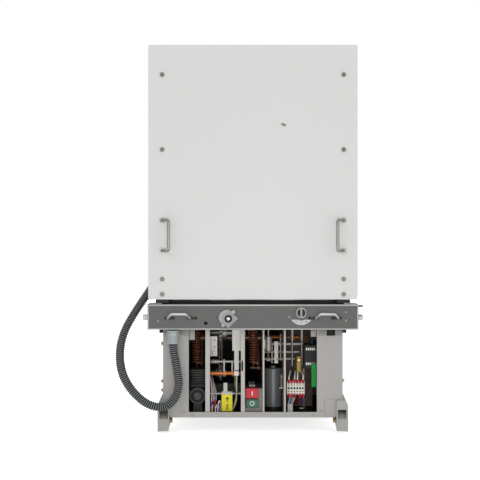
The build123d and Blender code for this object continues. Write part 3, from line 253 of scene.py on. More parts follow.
# Blown polyamide hose: shiny crests over near-black valleys, which are painted shade in the
# grooves.
hose_crest = finish("hose_polyamide_crest", "8C9295", roughness=0.32, vary=0.1)
hose_groove_shade = finish("polyamide_groove_shade", "0C0E0F", roughness=0.5, vary=0.1)
# Cast filled epoxy: brown, dull, clouded over about 80 mm.
epoxy = finish("filled_epoxy", "844C40", roughness=0.45, patch_mm=80, vary=0.08)
# Pressed laminate board: dry and brown.
laminate = finish("brown_laminate", "88746B", roughness=0.6, vary=0.12)
# Glazed alumina: cream under a clear, glassy coat.
alumina = finish("glazed_alumina", "F2EFE6", roughness=0.16, coat=0.6, vary=0.02)
# Olive passivated bar: a dull green-gold.
olive_bar_paint = finish("olive_passivated_bar", "937E2F", metallic=0.3, roughness=0.4,
                         vary=0.1)
print("finishes so far:", len(bpy.data.materials))

# %% [markdown]
# Some CAD nodes hold pieces of two finishes. Their material is copied and turns to a second
# colour within a span of one axis, which needs no new geometry: a steel rod under a
# moulded insulator, metal caps on a ceramic bottle, a black foot under a grey tube.


# %% Two-tone finishes
def two_tone(name, source, colour, axis, spans):
    """A copy of a finish that takes another colour within given spans of metres on an axis."""
    material = source.copy()
    material.name = name
    tree = material.node_tree
    shader = tree.nodes["Principled BSDF"]
    socket = shader.inputs["Base Color"].links[0].from_socket
    place = add_node(tree, "ShaderNodeTexCoord")
    split = add_node(tree, "ShaderNodeSeparateXYZ", links={"Vector": place.outputs["Object"]})
    for low, high in spans:
        inside = add_node(tree, "ShaderNodeMath", {"operation": "COMPARE"},
                          {1: (low + high) / 2, 2: (high - low) / 2}, {0: split.outputs[axis]})
        mixed = add_node(tree, "ShaderNodeMix", {"data_type": "RGBA"}, {7: linear(colour)},
                         {0: inside.outputs[0], 6: socket})
        socket = mixed.outputs[2]
    tree.links.new(socket, shader.inputs["Base Color"])
    return material


X, Y, Z = 0, 1, 2
barrel_finish = two_tone("tube_on_black_foot", barrel_paint, "1F1F22", Z, [(0.04, 0.0661)])
linkage_finish = two_tone("steel_and_oxide_shafts", turned_steel, "CD7439", Z,
                          [(0.1705, 0.1835)])
rod_finish = two_tone("insulator_on_steel_rod", epoxy, "D2D2CF", Z, [(0.0, 0.4299)])
bottle_finish = two_tone("capped_alumina", alumina, "D0CEC8", Z,
                         [(0.6, 0.665), (0.845, 0.95)])
flag_finish = two_tone("flag_on_steel_lever", signal_yellow, "C8C6C1", Z, [(0.1145, 0.2)])
switch_finish = two_tone("switch_and_module", black_polyamide, "119843", Y,
                         [(-0.2405, -0.2255)])
dashpot_finish = two_tone("dashpot_with_oiled_rod", turned_steel, "7A7068", Z,
                          [(0.188, 0.250)])
# The lock pins are dark inside the bar, where the slots are in shade, and bright outside it.
pin_in_bar = two_tone("pin_in_shaded_slot", bright_zinc, "161616", Y, [(-0.2985, -0.2)])
pin_finish = two_tone("lock_pin_ends", pin_in_bar, "B8B8B6", X,
                      [(-0.40, -0.3215), (0.3215, 0.40)])
print("finishes so far:", len(bpy.data.materials))

# %% [markdown]
# ## Finishes onto the CAD nodes
# Each node keeps its shape and takes the finish of the real piece in all its slots.

# %% Assign
node_finishes = {
    powder_coat: "front_plate",
    enamel: "side_column_left side_column_right floor_pan rear_wall wheel_forks deck_plate",
    dusty_enamel: "partition_left partition_middle partitions_thin button_bracket",
    galvanised: "crossbar guide_rods",
    zinc_cast: "racking_boss interlock_knob",
    black_paint: "fascia_frame_left fascia_frame_right bar_guides",
    motor_paint: "charging_motor",
    turned_steel: "cam_shaft motor_sprocket",
    pin_finish: "lock_pin_left lock_pin_right",
    bright_zinc: "racking_screw",
    oiled_chain: "drive_chain",
    dashpot_finish: "dashpot",
    stainless: "pull_handles",
    wheel_iron: "wheel_front_left wheel_front_right wheel_rear_left wheel_rear_right",
    yellow_zinc: "truck_bolts",
    screw_steel: "plate_screws",
    copper: "upper_terminals lower_terminals tulip_contacts contact_stem_a contact_stem_b "
            "contact_stem_c",
    epoxy: "pole_troughs",
    rod_finish: "pull_rod_a pull_rod_b pull_rod_c",
    bottle_finish: "vacuum_bottles",
    spring_wire: "opening_spring_left opening_spring_centre",
    browned_steel: "main_shaft",
    linkage_finish: "trip_linkage",
    barrel_finish: "closing_spring_barrel",
    switch_finish: "auxiliary_switch",
    cream_polyamide: "terminal_block",
    scale_zinc_and_fold_highlight: "position_scale",
    black_polyamide: "operations_counter",
    red_abs: "close_button",
    green_abs: "open_button",
    flag_finish: "charge_indicator",
    grey_polyamide: "hose_fitting control_plug",
    hose_crest: "control_hose",
}
assigned = 0
for material, names in node_finishes.items():
    for name in names.split():
        for material_slot in nodes[name].material_slots:
            material_slot.material = material
        assigned += 1
print("nodes with a finish:", assigned)

# %% [markdown]
# ## Tools for the added pieces
# A small piece starts as a primitive at its real size and place and is then worked in edit
# mode: its edges are bevelled, as every cut or moulded edge is, and a cap is inset or extruded
# where the piece has a step. Its transform is applied, so the mesh itself holds the place.


# %% Start and close a piece
def start():
    """Nothing selected, so that operators touch only the new piece."""
    bpy.ops.object.select_all(action="DESELECT")


def close(name, material, body="truck", smooth=35):
    """Applies the active piece's place, names it, gives it its finish and ties it to a body."""
    piece = bpy.context.object
    bpy.ops.object.transform_apply(location=True, rotation=True, scale=True)
    if smooth:
        bpy.ops.object.shade_smooth_by_angle(angle=radians(smooth))
    piece.name = name
    piece.data.materials.clear()
    piece.data.materials.append(material)
    if body:
        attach(piece, body)
    return piece


def copies(piece, places):
    """Copies of a finished piece on the truck, each with its own mesh, moved by millimetres."""
    for number, offset in enumerate(places):
        twin = piece.copy()
        twin.data = piece.data.copy()
        twin.name = f"{piece.name}_{number + 2}"
        bpy.context.collection.objects.link(twin)
        twin.data.transform(Matrix.Translation(Vector(offset) * MM))
        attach(twin, "truck")


def pick(piece, test):
    """Goes into edit mode with only the faces selected that pass a test."""
    bpy.ops.object.mode_set(mode="OBJECT")
    for element in list(piece.data.vertices) + list(piece.data.edges):
        element.select = False
    for face in piece.data.polygons:
        face.select = test(face)
    bpy.ops.object.mode_set(mode="EDIT")


bpy.context.tool_settings.mesh_select_mode = (False, False, True)


# %% Blocks
def block(name, low, high, material, body="truck", edge=0.6, sink=None):
    """A bevelled block between two corners in millimetres; sink is (inset, depth) in front."""
    start()
    size = [abs(b - a) * MM for a, b in zip(low, high)]
    centre = [(a + b) / 2 * MM for a, b in zip(low, high)]
    bpy.ops.mesh.primitive_cube_add(size=1, location=centre, scale=size)
    bpy.ops.object.transform_apply(location=True, rotation=True, scale=True)
    piece = bpy.context.object
    bpy.ops.object.mode_set(mode="EDIT")
    bpy.ops.mesh.bevel(offset=min(edge * MM, min(size) * 0.3), segments=2, affect="EDGES")
    if sink:
        front = min(low[1], high[1]) * MM
        pick(piece, lambda face: face.normal.y < -0.99 and face.center.y < front + 1e-5)
        bpy.ops.mesh.inset(thickness=sink[0] * MM)
        bpy.ops.mesh.extrude_region_move(
            TRANSFORM_OT_translate={"value": (0, sink[1] * MM, 0)})
    bpy.ops.object.mode_set(mode="OBJECT")
    return close(name, material, body)


print("block is ready")


# %% [markdown]
# Shafts, collars, nuts and screws are turned on a lathe, so they start as a cylinder laid along
# the line between their two end points. The end faces are picked by their normal and their rims
# chamfered; where the real end is bored, the cap is inset and pushed in.


# %% Turned pieces
def turned(name, begin, end, radius, material, body="truck", sides=32, edge=0.5, cup=None):
    """A round or hexagonal bar in millimetres; cup is (inset, depth) of a bore at its end."""
    start()
    a, b = Vector(begin) * MM, Vector(end) * MM
    along = (b - a).normalized()
    bpy.ops.mesh.primitive_cylinder_add(radius=radius * MM, depth=(b - a).length, vertices=sides,
                                        location=(a + b) / 2,
                                        rotation=along.to_track_quat("Z", "Y").to_euler())
    bpy.ops.object.transform_apply(location=True, rotation=True, scale=True)
    piece = bpy.context.object
    pick(piece, lambda face: abs(face.normal.dot(along)) > 0.9)
    bpy.ops.mesh.bevel(offset=min(edge * MM, (b - a).length * 0.4), segments=3, affect="EDGES")
    if cup:
        pick(piece, lambda face: face.normal.dot(along) > 0.99 and len(face.vertices) == sides)
        bpy.ops.mesh.inset(thickness=cup[0] * MM)
        bpy.ops.mesh.extrude_region_move(
            TRANSFORM_OT_translate={"value": -along * cup[1] * MM})
    bpy.ops.object.mode_set(mode="OBJECT")
    return close(name, material, body)


print("turned is ready")


# %% [markdown]
# A slotted screw head is turned, its rim rounded to a dome, and two bisect cuts mark the slot,
# which is then pushed in. The slot faces take black paint, which makes the slot darker than the
# head.


# %% Screw head
def pan_screw(name, x, face_y, z, radius, material, body="truck"):
    """A domed slotted screw head on a face that looks forward, in millimetres."""
    height, half_slot = radius * 0.55, radius * 0.16
    head = turned(name, (x, face_y + 0.2, z), (x, face_y - height, z), radius, material, body,
                  24, height * 0.75)
    for side in (-1, 1):
        pick(head, lambda face: True)
        bpy.ops.mesh.bisect(plane_co=(x * MM, 0, (z + side * half_slot) * MM),
                            plane_no=(0, 0, 1))
    pick(head, lambda face: face.normal.y < -0.2
         and abs(face.center.z - z * MM) < half_slot * MM)
    bpy.ops.mesh.extrude_region_move(
        TRANSFORM_OT_translate={"value": (0, height * 0.5 * MM, 0)})
    bpy.ops.object.mode_set(mode="OBJECT")
    head.data.materials.append(black_paint)
    for face in head.data.polygons:
        face.material_index = 1 if face.select else 0
    return head


def ring(name, centre, radius, thickness, material, body="truck", turn=(pi / 2, 0, 0)):
    """A round ring in millimetres with a slightly flattened section."""
    start()
    bpy.ops.mesh.primitive_torus_add(major_radius=radius * MM, minor_radius=thickness * MM,
                                     major_segments=48, minor_segments=12,
                                     location=[c * MM for c in centre], rotation=turn)
    bpy.context.object.scale = (1, 1, 0.85)
    return close(name, material, body, 60)


print("pan_screw and ring are ready")

# %% [markdown]
# ## Control hose
# A free length of ribbed polyamide conduit runs from its fitting under the crossbar, hangs in
# one wide loop and goes up behind the front plate to its parked plug. Its centre is a smooth
# NURBS line. The ribs are made as rings along that line, two wide and two narrow in turn, so
# the corrugation is real geometry. One rib is 6.6 mm long, about as on the real hose.

# %% Hose route
hose_points = [(-0.247, -0.291, 0.280), (-0.247, -0.291, 0.262), (-0.236, -0.294, 0.205),
               (-0.226, -0.298, 0.140), (-0.258, -0.305, 0.084), (-0.322, -0.303, 0.086),
               (-0.387, -0.284, 0.142), (-0.419, -0.254, 0.210), (-0.415, -0.218, 0.300),
               (-0.360, -0.198, 0.394), (-0.314, -0.205, 0.455), (-0.297, -0.215, 0.505),
               (-0.297, -0.215, 0.556)]


def centre_line(name, points, steps=48):
    """Points along the smooth NURBS line that some points in metres pull into shape."""
    route = bpy.data.curves.new(name, "CURVE")
    route.dimensions = "3D"
    route.resolution_u = steps
    spline = route.splines.new("NURBS")
    spline.points.add(len(points) - 1)
    for control, point in zip(spline.points, points):
        control.co = tuple(point) + (1,)
    spline.order_u = 3
    spline.use_endpoint_u = True
    holder = bpy.data.objects.new(name, route)
    line = [v.co.copy() for v in bpy.data.meshes.new_from_object(holder).vertices]
    bpy.data.objects.remove(holder)
    return line


line = centre_line("hose_route", hose_points)
travelled = [0.0]
for a, b in zip(line, line[1:]):
    travelled.append(travelled[-1] + (b - a).length)
print("hose length:", round(travelled[-1], 4))


# %% [markdown]
# A tube follows the line as a ring of points at each step, set square to the line there. Each
# ring takes its start direction from the one before, so the tube doesn't twist, and both ends
# are closed with a face.


# %% Hose tube
def skin(name, rings, sides, material):
    """A closed tube over (centre, radius) rings that follow one line."""
    tube = bmesh.new()
    loops, side = [], None
    for index, (centre, radius) in enumerate(rings):
        ahead = rings[min(index + 1, len(rings) - 1)][0]
        behind = rings[max(index - 1, 0)][0]
        along = (ahead - behind).normalized()
        side = side or along.orthogonal().normalized()
        side = (side - along * side.dot(along)).normalized()
        across = along.cross(side)
        loops.append([tube.verts.new(centre + radius * (cos(2 * pi * k / sides) * side
                                                        + sin(2 * pi * k / sides) * across))
                      for k in range(sides)])
    for near, far in zip(loops, loops[1:]):
        for k in range(sides):
            tube.faces.new((near[k], near[(k + 1) % sides], far[(k + 1) % sides], far[k]))
    tube.faces.new(reversed(loops[0]))
    tube.faces.new(loops[-1])
    mesh = bpy.data.meshes.new(name)
    tube.to_mesh(mesh)
    tube.free()
    mesh.materials.append(material)
    piece = bpy.data.objects.new(name, mesh)
    bpy.context.collection.objects.link(piece)
    start()
    bpy.context.view_layer.objects.active = piece
    piece.select_set(True)
    bpy.ops.object.shade_smooth_by_angle(angle=radians(35))
    return piece


rib_length, rib_depth, hose_radius, hose_sides = 6.6 * MM, 3.0 * MM, 14.25 * MM, 24
rib_profile = (0, 0, rib_depth, rib_depth)
ribs = round(travelled[-1] / rib_length)
steps = len(rib_profile) * ribs
hose_rings, reach = [], 0
for step in range(steps + 1):
    distance = travelled[-1] * step / steps
    while reach < len(line) - 2 and travelled[reach + 1] < distance:
        reach += 1
    share = (distance - travelled[reach]) / (travelled[reach + 1] - travelled[reach])
    radius = hose_radius - rib_profile[step % len(rib_profile)]
    hose_rings.append((line[reach].lerp(line[reach + 1], share), radius))
hose = skin("corrugated_hose", hose_rings, hose_sides, hose_crest)
# Painted shade: the valley rings of each rib take a near-black finish.
hose.data.materials.append(hose_groove_shade)
for index, face in enumerate(hose.data.polygons):
    face.material_index = 0 if (index // hose_sides) % len(rib_profile) == 0 else 1
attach(hose, "truck")
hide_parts("control_hose")
print("ribs:", ribs)

# %% [markdown]
# The fitting that grips the hose has three rounded rings. One torus is made and copied twice.

# %% Fitting rings
grip = ring("fitting_ring", (-247, -291, 286), 17, 1.1, grey_polyamide, turn=(0, 0, 0))
copies(grip, [(0, 0, 6), (0, 0, 12)])

# %% [markdown]
# ## Opening springs
# Each opening spring is an extension spring between a lever pin on the main shaft and an anchor
# under the deck. A small circle of wire is swept up a screw by the Screw modifier, which gives a
# true helix; straight tails close the ends.


# %% Coil springs
def opening_spring(name, x, node):
    """A coil with straight tails at the middle of a spring's CAD node, in millimetres."""
    y, low, pitch, turns, radius, wire = -40, 191, 8.0, 21, 12, 2.5
    pin_z, anchor_z, sides, steps_a_turn = 178.8, 383, 10, 18
    top = low + pitch * turns
    start()
    bpy.ops.mesh.primitive_circle_add(radius=wire * MM, vertices=sides,
                                      location=(radius * MM, 0, 0), rotation=(pi / 2, 0, 0))
    bpy.ops.object.transform_apply(location=True, rotation=True, scale=True)
    coil = bpy.context.object
    screw = coil.modifiers.new("helix", "SCREW")
    screw.angle = 2 * pi * turns
    screw.screw_offset = pitch * turns * MM
    screw.steps = screw.render_steps = steps_a_turn * turns
    screw.use_merge_vertices = False
    bpy.ops.object.modifier_apply(modifier="helix")
    bpy.ops.object.mode_set(mode="EDIT")
    bpy.ops.mesh.select_all(action="SELECT")
    bpy.ops.mesh.fill_holes(sides=sides)
    bpy.ops.mesh.select_all(action="SELECT")
    bpy.ops.mesh.normals_make_consistent(inside=False)
    bpy.ops.object.mode_set(mode="OBJECT")
    coil.location = (x * MM, y * MM, low * MM)
    coil = close(name, spring_wire, None, 60)
    parts = [turned(name + "_tail_low", (x, y, pin_z), (x, y, low + 1), wire, spring_wire,
                    None),
             turned(name + "_tail_high", (x, y, top - 1), (x, y, anchor_z), wire, spring_wire,
                    None),
             block(name + "_arm_low", (x - 2, y - 2, low - 2), (x + radius, y + 2, low + 2),
                   spring_wire, None, 1.2),
             block(name + "_arm_high", (x - 2, y - 2, top - 2), (x + radius, y + 2, top + 2),
                   spring_wire, None, 1.2)]
    start()
    for part in parts + [coil]:
        part.select_set(True)
    bpy.context.view_layer.objects.active = coil
    bpy.ops.object.join()
    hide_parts(node)
    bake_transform(coil)
    return coil


for name, x, node in (("spring_coil_left", -184, "opening_spring_left"),
                      ("spring_coil_centre", 4, "opening_spring_centre")):
    print(name, len(opening_spring(name, x, node).data.polygons), "faces")

# %% [markdown]
# ## Wires and looms
# The wiring is PVC-insulated flex. Each wire follows a NURBS line through a few clip points, as
# the hose does, and the same skin function gives it a round mesh.


# %% Wire helper
def wire(name, points, radius, material, body="truck"):
    """A round wire through points in millimetres."""
    path = centre_line(name, [Vector(point) * MM for point in points], 8)
    piece = skin(name, [(point, radius * MM) for point in path], 10, material)
    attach(piece, body)
    return piece


# The sleeves look like the moulded plastics of the same colour, so they share those finishes.
white_pvc, red_pvc, black_pvc = white_abs, red_abs, black_polyamide
for number, sleeve in enumerate((green_polyamide, red_pvc, white_pvc, black_pvc)):
    x = -56 + number * 3.4
    wire(f"connector_wire_{number}", [(x, -237, 175), (x - 2, -236, 155),
                                      (x + 6 - number * 3, -232, 120), (x - 4, -228, 80),
                                      (x - 10 - number * 4, -220, 55)], 1.4, sleeve)

# %% [markdown]
# The loom beside the charge flag bundles wires that rise from the floor and turn back into the
# mechanism. In front of it the spare length lies in short curls, each wire arching up and over
# before it returns to the floor.

# %% Loom
loom_sleeves = (white_pvc, black_pvc, red_pvc, white_pvc, black_pvc, blue_pvc, white_pvc,
                black_pvc)
for number, sleeve in enumerate(loom_sleeves):
    y = -240 + number * 3.4
    wire(f"loom_{number}", [(-135 + number * 1.6, y, 52), (-131 + number * 2.4, y, 84),
                            (-127 + number * 2, y + 4, 118), (-131 + number, y + 20, 150),
                            (-138 + number, y + 60, 172)], 1.5, sleeve)
# Extruded violet PVC, one of the colours that tell the control circuits apart.
violet_pvc = finish("violet_pvc", "7B4FA6", roughness=0.4)
curl_sleeves = (white_pvc, black_pvc, violet_pvc, white_pvc, black_pvc, red_pvc, white_pvc,
                black_pvc, white_pvc, violet_pvc)
for number, sleeve in enumerate(curl_sleeves):
    x, lift = -136 + number * 3.6, 6 * (number % 3)
    wire(f"loom_curl_{number}", [(x - 2, -240, 52), (x - 3, -246, 70),
                                 (x + 1, -243, 84 + lift), (x + 5, -234, 82 + lift),
                                 (x + 6, -226, 66), (x + 4, -222, 53)], 1.6, sleeve)
print("loom wires:", len(loom_sleeves), "curls:", len(curl_sleeves))

# %% [markdown]
# Each terminal clamps a flex in a red sleeve above and, but for one, another below. A clamp
# screw is modelled once and copied to the twelve clamps, and a dark marker window likewise.

# %% Terminal wiring
terminals, first_x, pitch = 6, 114, 9
upper_z, row_drop, bare_terminal = 141, 20, 3
clamp = pan_screw("terminal_screw", first_x, -214.6, upper_z, 2.6, yellow_zinc)
copies(clamp, [(n * pitch, 0, drop) for n in range(terminals) for drop in (0, -row_drop)
               if n or drop])
upper_sleeves = (white_pvc, black_pvc, white_pvc, white_pvc, black_pvc, white_pvc)
lower_sleeves = (black_pvc, blue_pvc, white_pvc, black_pvc, red_pvc, blue_pvc)
for number in range(terminals):
    x = first_x + number * pitch
    wire(f"terminal_wire_up_{number}", [(x, -213, 147), (x, -221, 158), (x + 1, -218, 168),
                                        (x + 4 - number, -206, 176),
                                        (x + 8 - 2 * number, -182, 182)], 2.1,
         upper_sleeves[number])
    wire(f"terminal_wire_down_{number}", [(x, -213, 114), (x, -220, 104), (x - 2, -212, 92),
                                          (x - 4 - number, -198, 80)], 2.1,
         lower_sleeves[number])
next_terminals = [(n * pitch, 0, 0) for n in range(1, terminals)]
ferrule = turned("terminal_ferrule", (first_x, -215, 147), (first_x, -220, 159), 3.3, red_pvc,
                 sides=20)
copies(ferrule, next_terminals)
lower = turned("terminal_ferrule_low", (first_x, -215, 114), (first_x, -219, 102), 3.3, red_pvc,
               sides=20)
copies(lower, [place for place in next_terminals if place[0] != bare_terminal * pitch])
window = block("terminal_window", (first_x - 2.8, -215.6, 127.5), (first_x + 2.8, -214.4, 134.5),
               black_polyamide, edge=0.3)
copies(window, next_terminals)
print("terminals wired:", terminals)

# %% [markdown]
# The auxiliary switch carries five cream terminals above and five below. One is modelled with
# a sunk front and copied.

# %% Switch terminals and connector
tab = block("switch_terminal", (168, -227, 252), (172, -224, 260), cream_polyamide, edge=0.4,
            sink=(0.9, 1.0))
tabs, tab_pitch, tab_drop = 5, 6, 46.5
copies(tab, [(n * tab_pitch, 0, drop) for n in range(tabs) for drop in (0, -tab_drop)
             if n or drop])
block("white_connector", (-58, -244, 174), (-44, -230, 188), white_abs, edge=1, sink=(2, 3))
print("switch terminals:", 2 * tabs)

# %% [markdown]
# ## Buttons, counter and charge flag
# The closing button carries a bar and the opening button a ring, moulded in white as a second
# shot. The counter shows five digits, which are set as text and turned into a mesh.

# %% Button marks
block("close_mark", (-3.4, -262.5, 114), (-0.6, -261.0, 128), white_abs, "close_button_body",
      edge=0.4)
ring("open_mark", (-2, -256.2, 89), 6.2, 1.3, white_abs, "open_button_body")
start()
bpy.ops.object.text_add(location=(-0.0105, -0.2373, 0.1395), rotation=(pi / 2, 0, 0))
digits = bpy.context.object
digits.data.body = "00128"
digits.data.size = 0.0072
digits.data.extrude = 0.0001
bpy.ops.object.convert(target="MESH")
bpy.ops.object.mode_set(mode="EDIT")
bpy.ops.mesh.select_all(action="SELECT")
bpy.ops.mesh.remove_doubles(threshold=0.000001)
bpy.ops.object.mode_set(mode="OBJECT")
close("counter_digits", white_abs, smooth=0)
print("digit faces:", len(digits.data.polygons))

# %% [markdown]
# The yellow flag tells whether the closing spring is charged. Its marks are screen-printed: an
# upward arrow and a zigzag for the spring, raised here by a hair so they stay crisp.

# %% Flag marks
flag, flag_x, flag_y = "indicator_body", -80, -236.4
wire("flag_arrow_stem", [(flag_x, flag_y, 91), (flag_x, flag_y, 98), (flag_x, flag_y, 105)],
     1.2, black_polyamide, flag)
for side in (-1, 1):
    wire(f"flag_arrow_{side}", [(flag_x + side * 4.5, flag_y, 99),
                                (flag_x + side * 2, flag_y, 103), (flag_x, flag_y, 106)],
         1.2, black_polyamide, flag)
zigzag = [(flag_x + (4 if n % 2 else -4), flag_y, 67 + 3.2 * n) for n in range(6)]
wire("flag_spring", zigzag, 1.1, black_polyamide, flag)
print("zigzag corners:", len(zigzag))

# %% [markdown]
# ## Charging motor
# The motor is a painted casting with a bearing cap on its end, under a finned cover that sheds
# its heat. The cap is turned and bored; one fin is modelled and copied.

# %% Motor cover
# Scuffed enamel on thin fins: dark grey, with bare metal along each edge.
fin_paint = finish("scuffed_black_enamel", "484848", metallic=0.3, roughness=0.4, edge=0.4)
block("finned_cover", (-197, -203, 136), (-152, -200, 184), black_paint, edge=0.8)
fin = block("cooling_fin", (-196, -206, 138), (-153, -202, 140), fin_paint, edge=0.5)
fins, fin_pitch = 6, 8
copies(fin, [(0, 0, n * fin_pitch) for n in range(1, fins)])
turned("motor_end_ring", (-174, -225, 108), (-174, -229, 108), 20, black_paint, sides=48,
       edge=1.2, cup=(5, 1.5))
turned("motor_end_cap", (-174, -227.6, 108), (-174, -232, 108), 9, fin_paint, sides=40, edge=1,
       cup=(3, 1))
print("fins:", fins)

# %% [markdown]
# ## Linings and painted shade
# Thin panels close the views through the box: a brown laminate board behind the right
# compartment, and black sheets on the floor and at the back, which are painted shade where the
# inside of the box lies in shade. A black strip closes the gap between the front plate and the
# crossbar, painted shade there too.

# %% Lining panels
block("compartment_back", (103, -64, 52), (199, -60, 300), laminate, edge=0.8)
# Painted shade: black sheets at the back and on the floor of the box.
block("rear_shade_sheet", (-276, 203, 92), (276, 206, 398), black_paint, edge=0.8)
block("floor_shade_sheet", (-250, -262, 50), (250, 196, 51), black_paint, edge=0.3)
# Painted shade: a black strip in the gap under the front plate.
block("gap_shade_strip", (-284, -268, 399.5), (284, -264, 412.5), black_paint, edge=0.8)

# %% [markdown]
# ## Trip gear
# Levers and collars sit on the cross shafts above the buttons. A collar is a turned ring with
# a bored face, a lever a flat bar with rounded edges, and the stop is a bolt with three nuts:
# one nut is a chamfered hexagon, copied twice.

# %% Collars and levers
for x in (56, 83):
    turned(f"trip_collar_{x}", (x, -165, 267), (x + 8, -165, 267), 8.5, turned_steel, edge=0.8,
           cup=(1.6, 0.8))
    turned(f"trip_collar_low_{x}", (x - 6, -165, 219), (x, -165, 219), 7.5, yellow_zinc,
           edge=0.8, cup=(1.6, 0.8))
block("trip_lever", (60, -174, 206), (65, -168, 274), turned_steel, edge=1.2)
block("trip_lever_upper", (88, -176, 214), (92, -170, 300), dusty_enamel, edge=1)
turned("cross_shaft", (36.5, -120, 284), (97, -120, 284), 6, copper_shaft)
turned("cross_shaft_right", (103, -120, 284), (176, -120, 284), 6, copper_shaft)
nut = turned("stop_nut", (92, -196, 141), (92, -196, 145.5), 6, yellow_zinc, sides=6, edge=0.7)
copies(nut, [(0, 0, 8), (0, 0, 16)])
turned("stop_bolt", (92, -196, 132), (92, -196, 172), 3, turned_steel)
block("stop_bracket", (84, -204, 128), (97.4, -188, 132), turned_steel, edge=0.8)

# %% [markdown]
# The latch half: a steel block with a large screw and two small ones, sleeves on the latch
# shaft, and pressed plates that carry the pawls. The olive strip is a passivated bar held by
# one copper bolt.

# %% Latch and strips
turned("block_screw", (-122, -232, 244), (-122, -236, 244), 6, turned_steel, edge=1,
       cup=(2.6, 1.8))
small = pan_screw("block_small_screw", -120, -228.2, 262, 3, turned_steel)
copies(small, [(0, 0, 22)])
turned("latch_sleeve_left", (-134, -200, 214), (-108, -200, 214), 6.5, turned_steel, edge=0.8)
turned("latch_sleeve_right", (-66, -200, 214), (-34, -200, 214), 5.5, turned_steel, edge=0.8)
block("pawl_plate", (-93, -212, 168), (-88, -196, 222), turned_steel, edge=1)
block("pawl_plate_right", (-67, -212, 172), (-62, -194, 218), turned_steel, edge=1)
block("roller_bracket", (-52, -226, 198), (-47, -190, 216), turned_steel, edge=1)
block("spring_lug_left", (-190, -44, 383), (-178, -36, 400), turned_steel, edge=1.5)
block("olive_strip", (140.5, -196, 150), (154.5, -193.8, 229), olive_bar_paint, edge=0.6)
turned("strip_bolt", (147.5, -195, 218), (147.5, -200, 218), 4, copper, sides=6, edge=0.6)
block("edge_strip", (163, -180, 62), (166, -176, 190), turned_steel, edge=0.8)
block("strip_foot", (150, -180, 60), (166, -176, 64), turned_steel, edge=0.8)

# %% [markdown]
# ## Box front
# The columns are folded from sheet, with a step at their heads where the bar guides pass, and
# pan screws hold the sill lip to them.

# %% Column heads and sill screws
lip_screw = pan_screw("lip_screw", -238, -270, 56, 4, turned_steel)
copies(lip_screw, [(50, 0, -3), (476, 0, 0), (426, 0, -3)])
column_screw = pan_screw("column_screw", -214, -270, 66, 3.5, turned_steel)
copies(column_screw, [(428, 0, 0)])
for side in (-1, 1):
    block(f"hanger_tab_{side}", (side * 181, -262, 288 if side < 0 else 298),
          (side * 199, -259, 319), enamel, edge=1)
    block(f"column_shade_{side}", (side * 231, -262, 303), (side * 255, -260, 319.5),
          black_paint)
    # Painted shade: thin plates in the darker recess enamel over the column heads.
    block(f"column_step_{side}", (side * 204, -270.8, 302.5), (side * 229.5, -270, 319.5),
          recess_shade_enamel, edge=0.3)
    block(f"column_step_outer_{side}", (side * 256.5, -270.8, 302.5),
          (side * 277, -270, 319.5), recess_shade_enamel, edge=0.3)
    block(f"corner_gusset_{side}", (side * 279, -276, 311), (side * 291, -271, 321),
          black_paint, edge=1)

# %% [markdown]
# ## Crossbar
# The bar is a galvanised channel: its folds catch the light, painted here as bright strips along
# the edges.
# The racking boss has a thin black disc, painted shade of the socket round a square drive core,
# and the knob a black face.

# %% Crossbar trim
bar, half_bar = "crossbar_body", 325.5
fold_front, fold_back = -300.6, -299.6
# Painted highlight: bright strips along the folds of the bar.
for name, z_low, z_high in (("lower_fold_highlight", 323.2, 327), ("upper_fold_highlight", 396.5, 400.8)):
    block(name, (-half_bar, fold_front, z_low), (half_bar, fold_back, z_high), scale_zinc_and_fold_highlight, bar,
          0.4)
for side in (-1, 1):
    block(f"bar_end_fold_{side}", (side * 322, fold_front, 327),
          (side * half_bar, fold_back, 396.5), scale_zinc_and_fold_highlight, bar, 0.4)
boss_x, boss_z = -76, 357.5
# Painted shade: a thin black disc for the shaded socket round the drive core.
turned("boss_socket_shade", (boss_x, -311.8, boss_z), (boss_x, -312.4, boss_z), 12.2, black_paint,
       bar, 48, 0.2)
turned("boss_core", (boss_x, -312.2, boss_z), (boss_x, -313.4, boss_z), 6.5, bright_zinc, bar,
       4, 0.4)
knob_x, knob_z, dot_circle = 149, 375.5, 31
turned("knob_face", (knob_x, -307.6, knob_z), (knob_x, -308.6, knob_z), 12, black_paint,
       "knob_body", 48, 0.3)
for step, angle in enumerate((-120, -90, -60)):
    x = knob_x + dot_circle * cos(radians(angle))
    z = knob_z + dot_circle * sin(radians(angle))
    turned(f"scale_dot_{step}", (x, -300.8, z), (x, -301.6, z), 1.6, black_paint, bar, 20, 0.2)
rivets = ((112, 362, 3.4), (287, 377, 3), (287, 350, 3), (-293, 350, 3))
for number, (x, z, radius) in enumerate(rivets):
    pan_screw(f"bar_rivet_{number}", x, -299.9, z, radius, turned_steel, bar)
print("rivets:", len(rivets))

# %% [markdown]
# ## Pull handle rosettes
# A pressed ring seats each end of the two pull handles on the front plate.

# %% Rosettes
handle_gap, handle_reach = 562, 94
rosette = ring("handle_rosette", (-281, -292.5, 661), 7.8, 1.8, bright_zinc)
copies(rosette, [(0, 0, -handle_reach), (handle_gap, 0, 0), (handle_gap, 0, -handle_reach)])

# %% [markdown]
# ## Studio
# Four soft lamps and a pale world light the breaker at a plain level, so that each colour
# renders about as it is written. Camera, glossy and transmission rays see a white surround:
# the background stays white and bare metal mirrors it, with no extra light on the object.

# %% Camera
scene = bpy.context.scene
scene.view_settings.view_transform = "Standard"
camera_data = bpy.data.cameras.new("camera")
camera_data.sensor_width = 36
camera_data.lens = 82.6
camera = bpy.data.objects.new("camera", camera_data)
bpy.context.collection.objects.link(camera)
camera.location = (-0.04, -3.7, 0.6)
camera.rotation_euler = (pi / 2, 0, 0)
scene.camera = camera
print("camera at", tuple(round(c, 2) for c in camera.location))


# %% [markdown]
# Light Path tells which kind of ray asks for the world's colour. Rays that the eye follows, by
# sight, in a mirror or through glass, get plain white; the rays that carry light get the
# weaker world light.


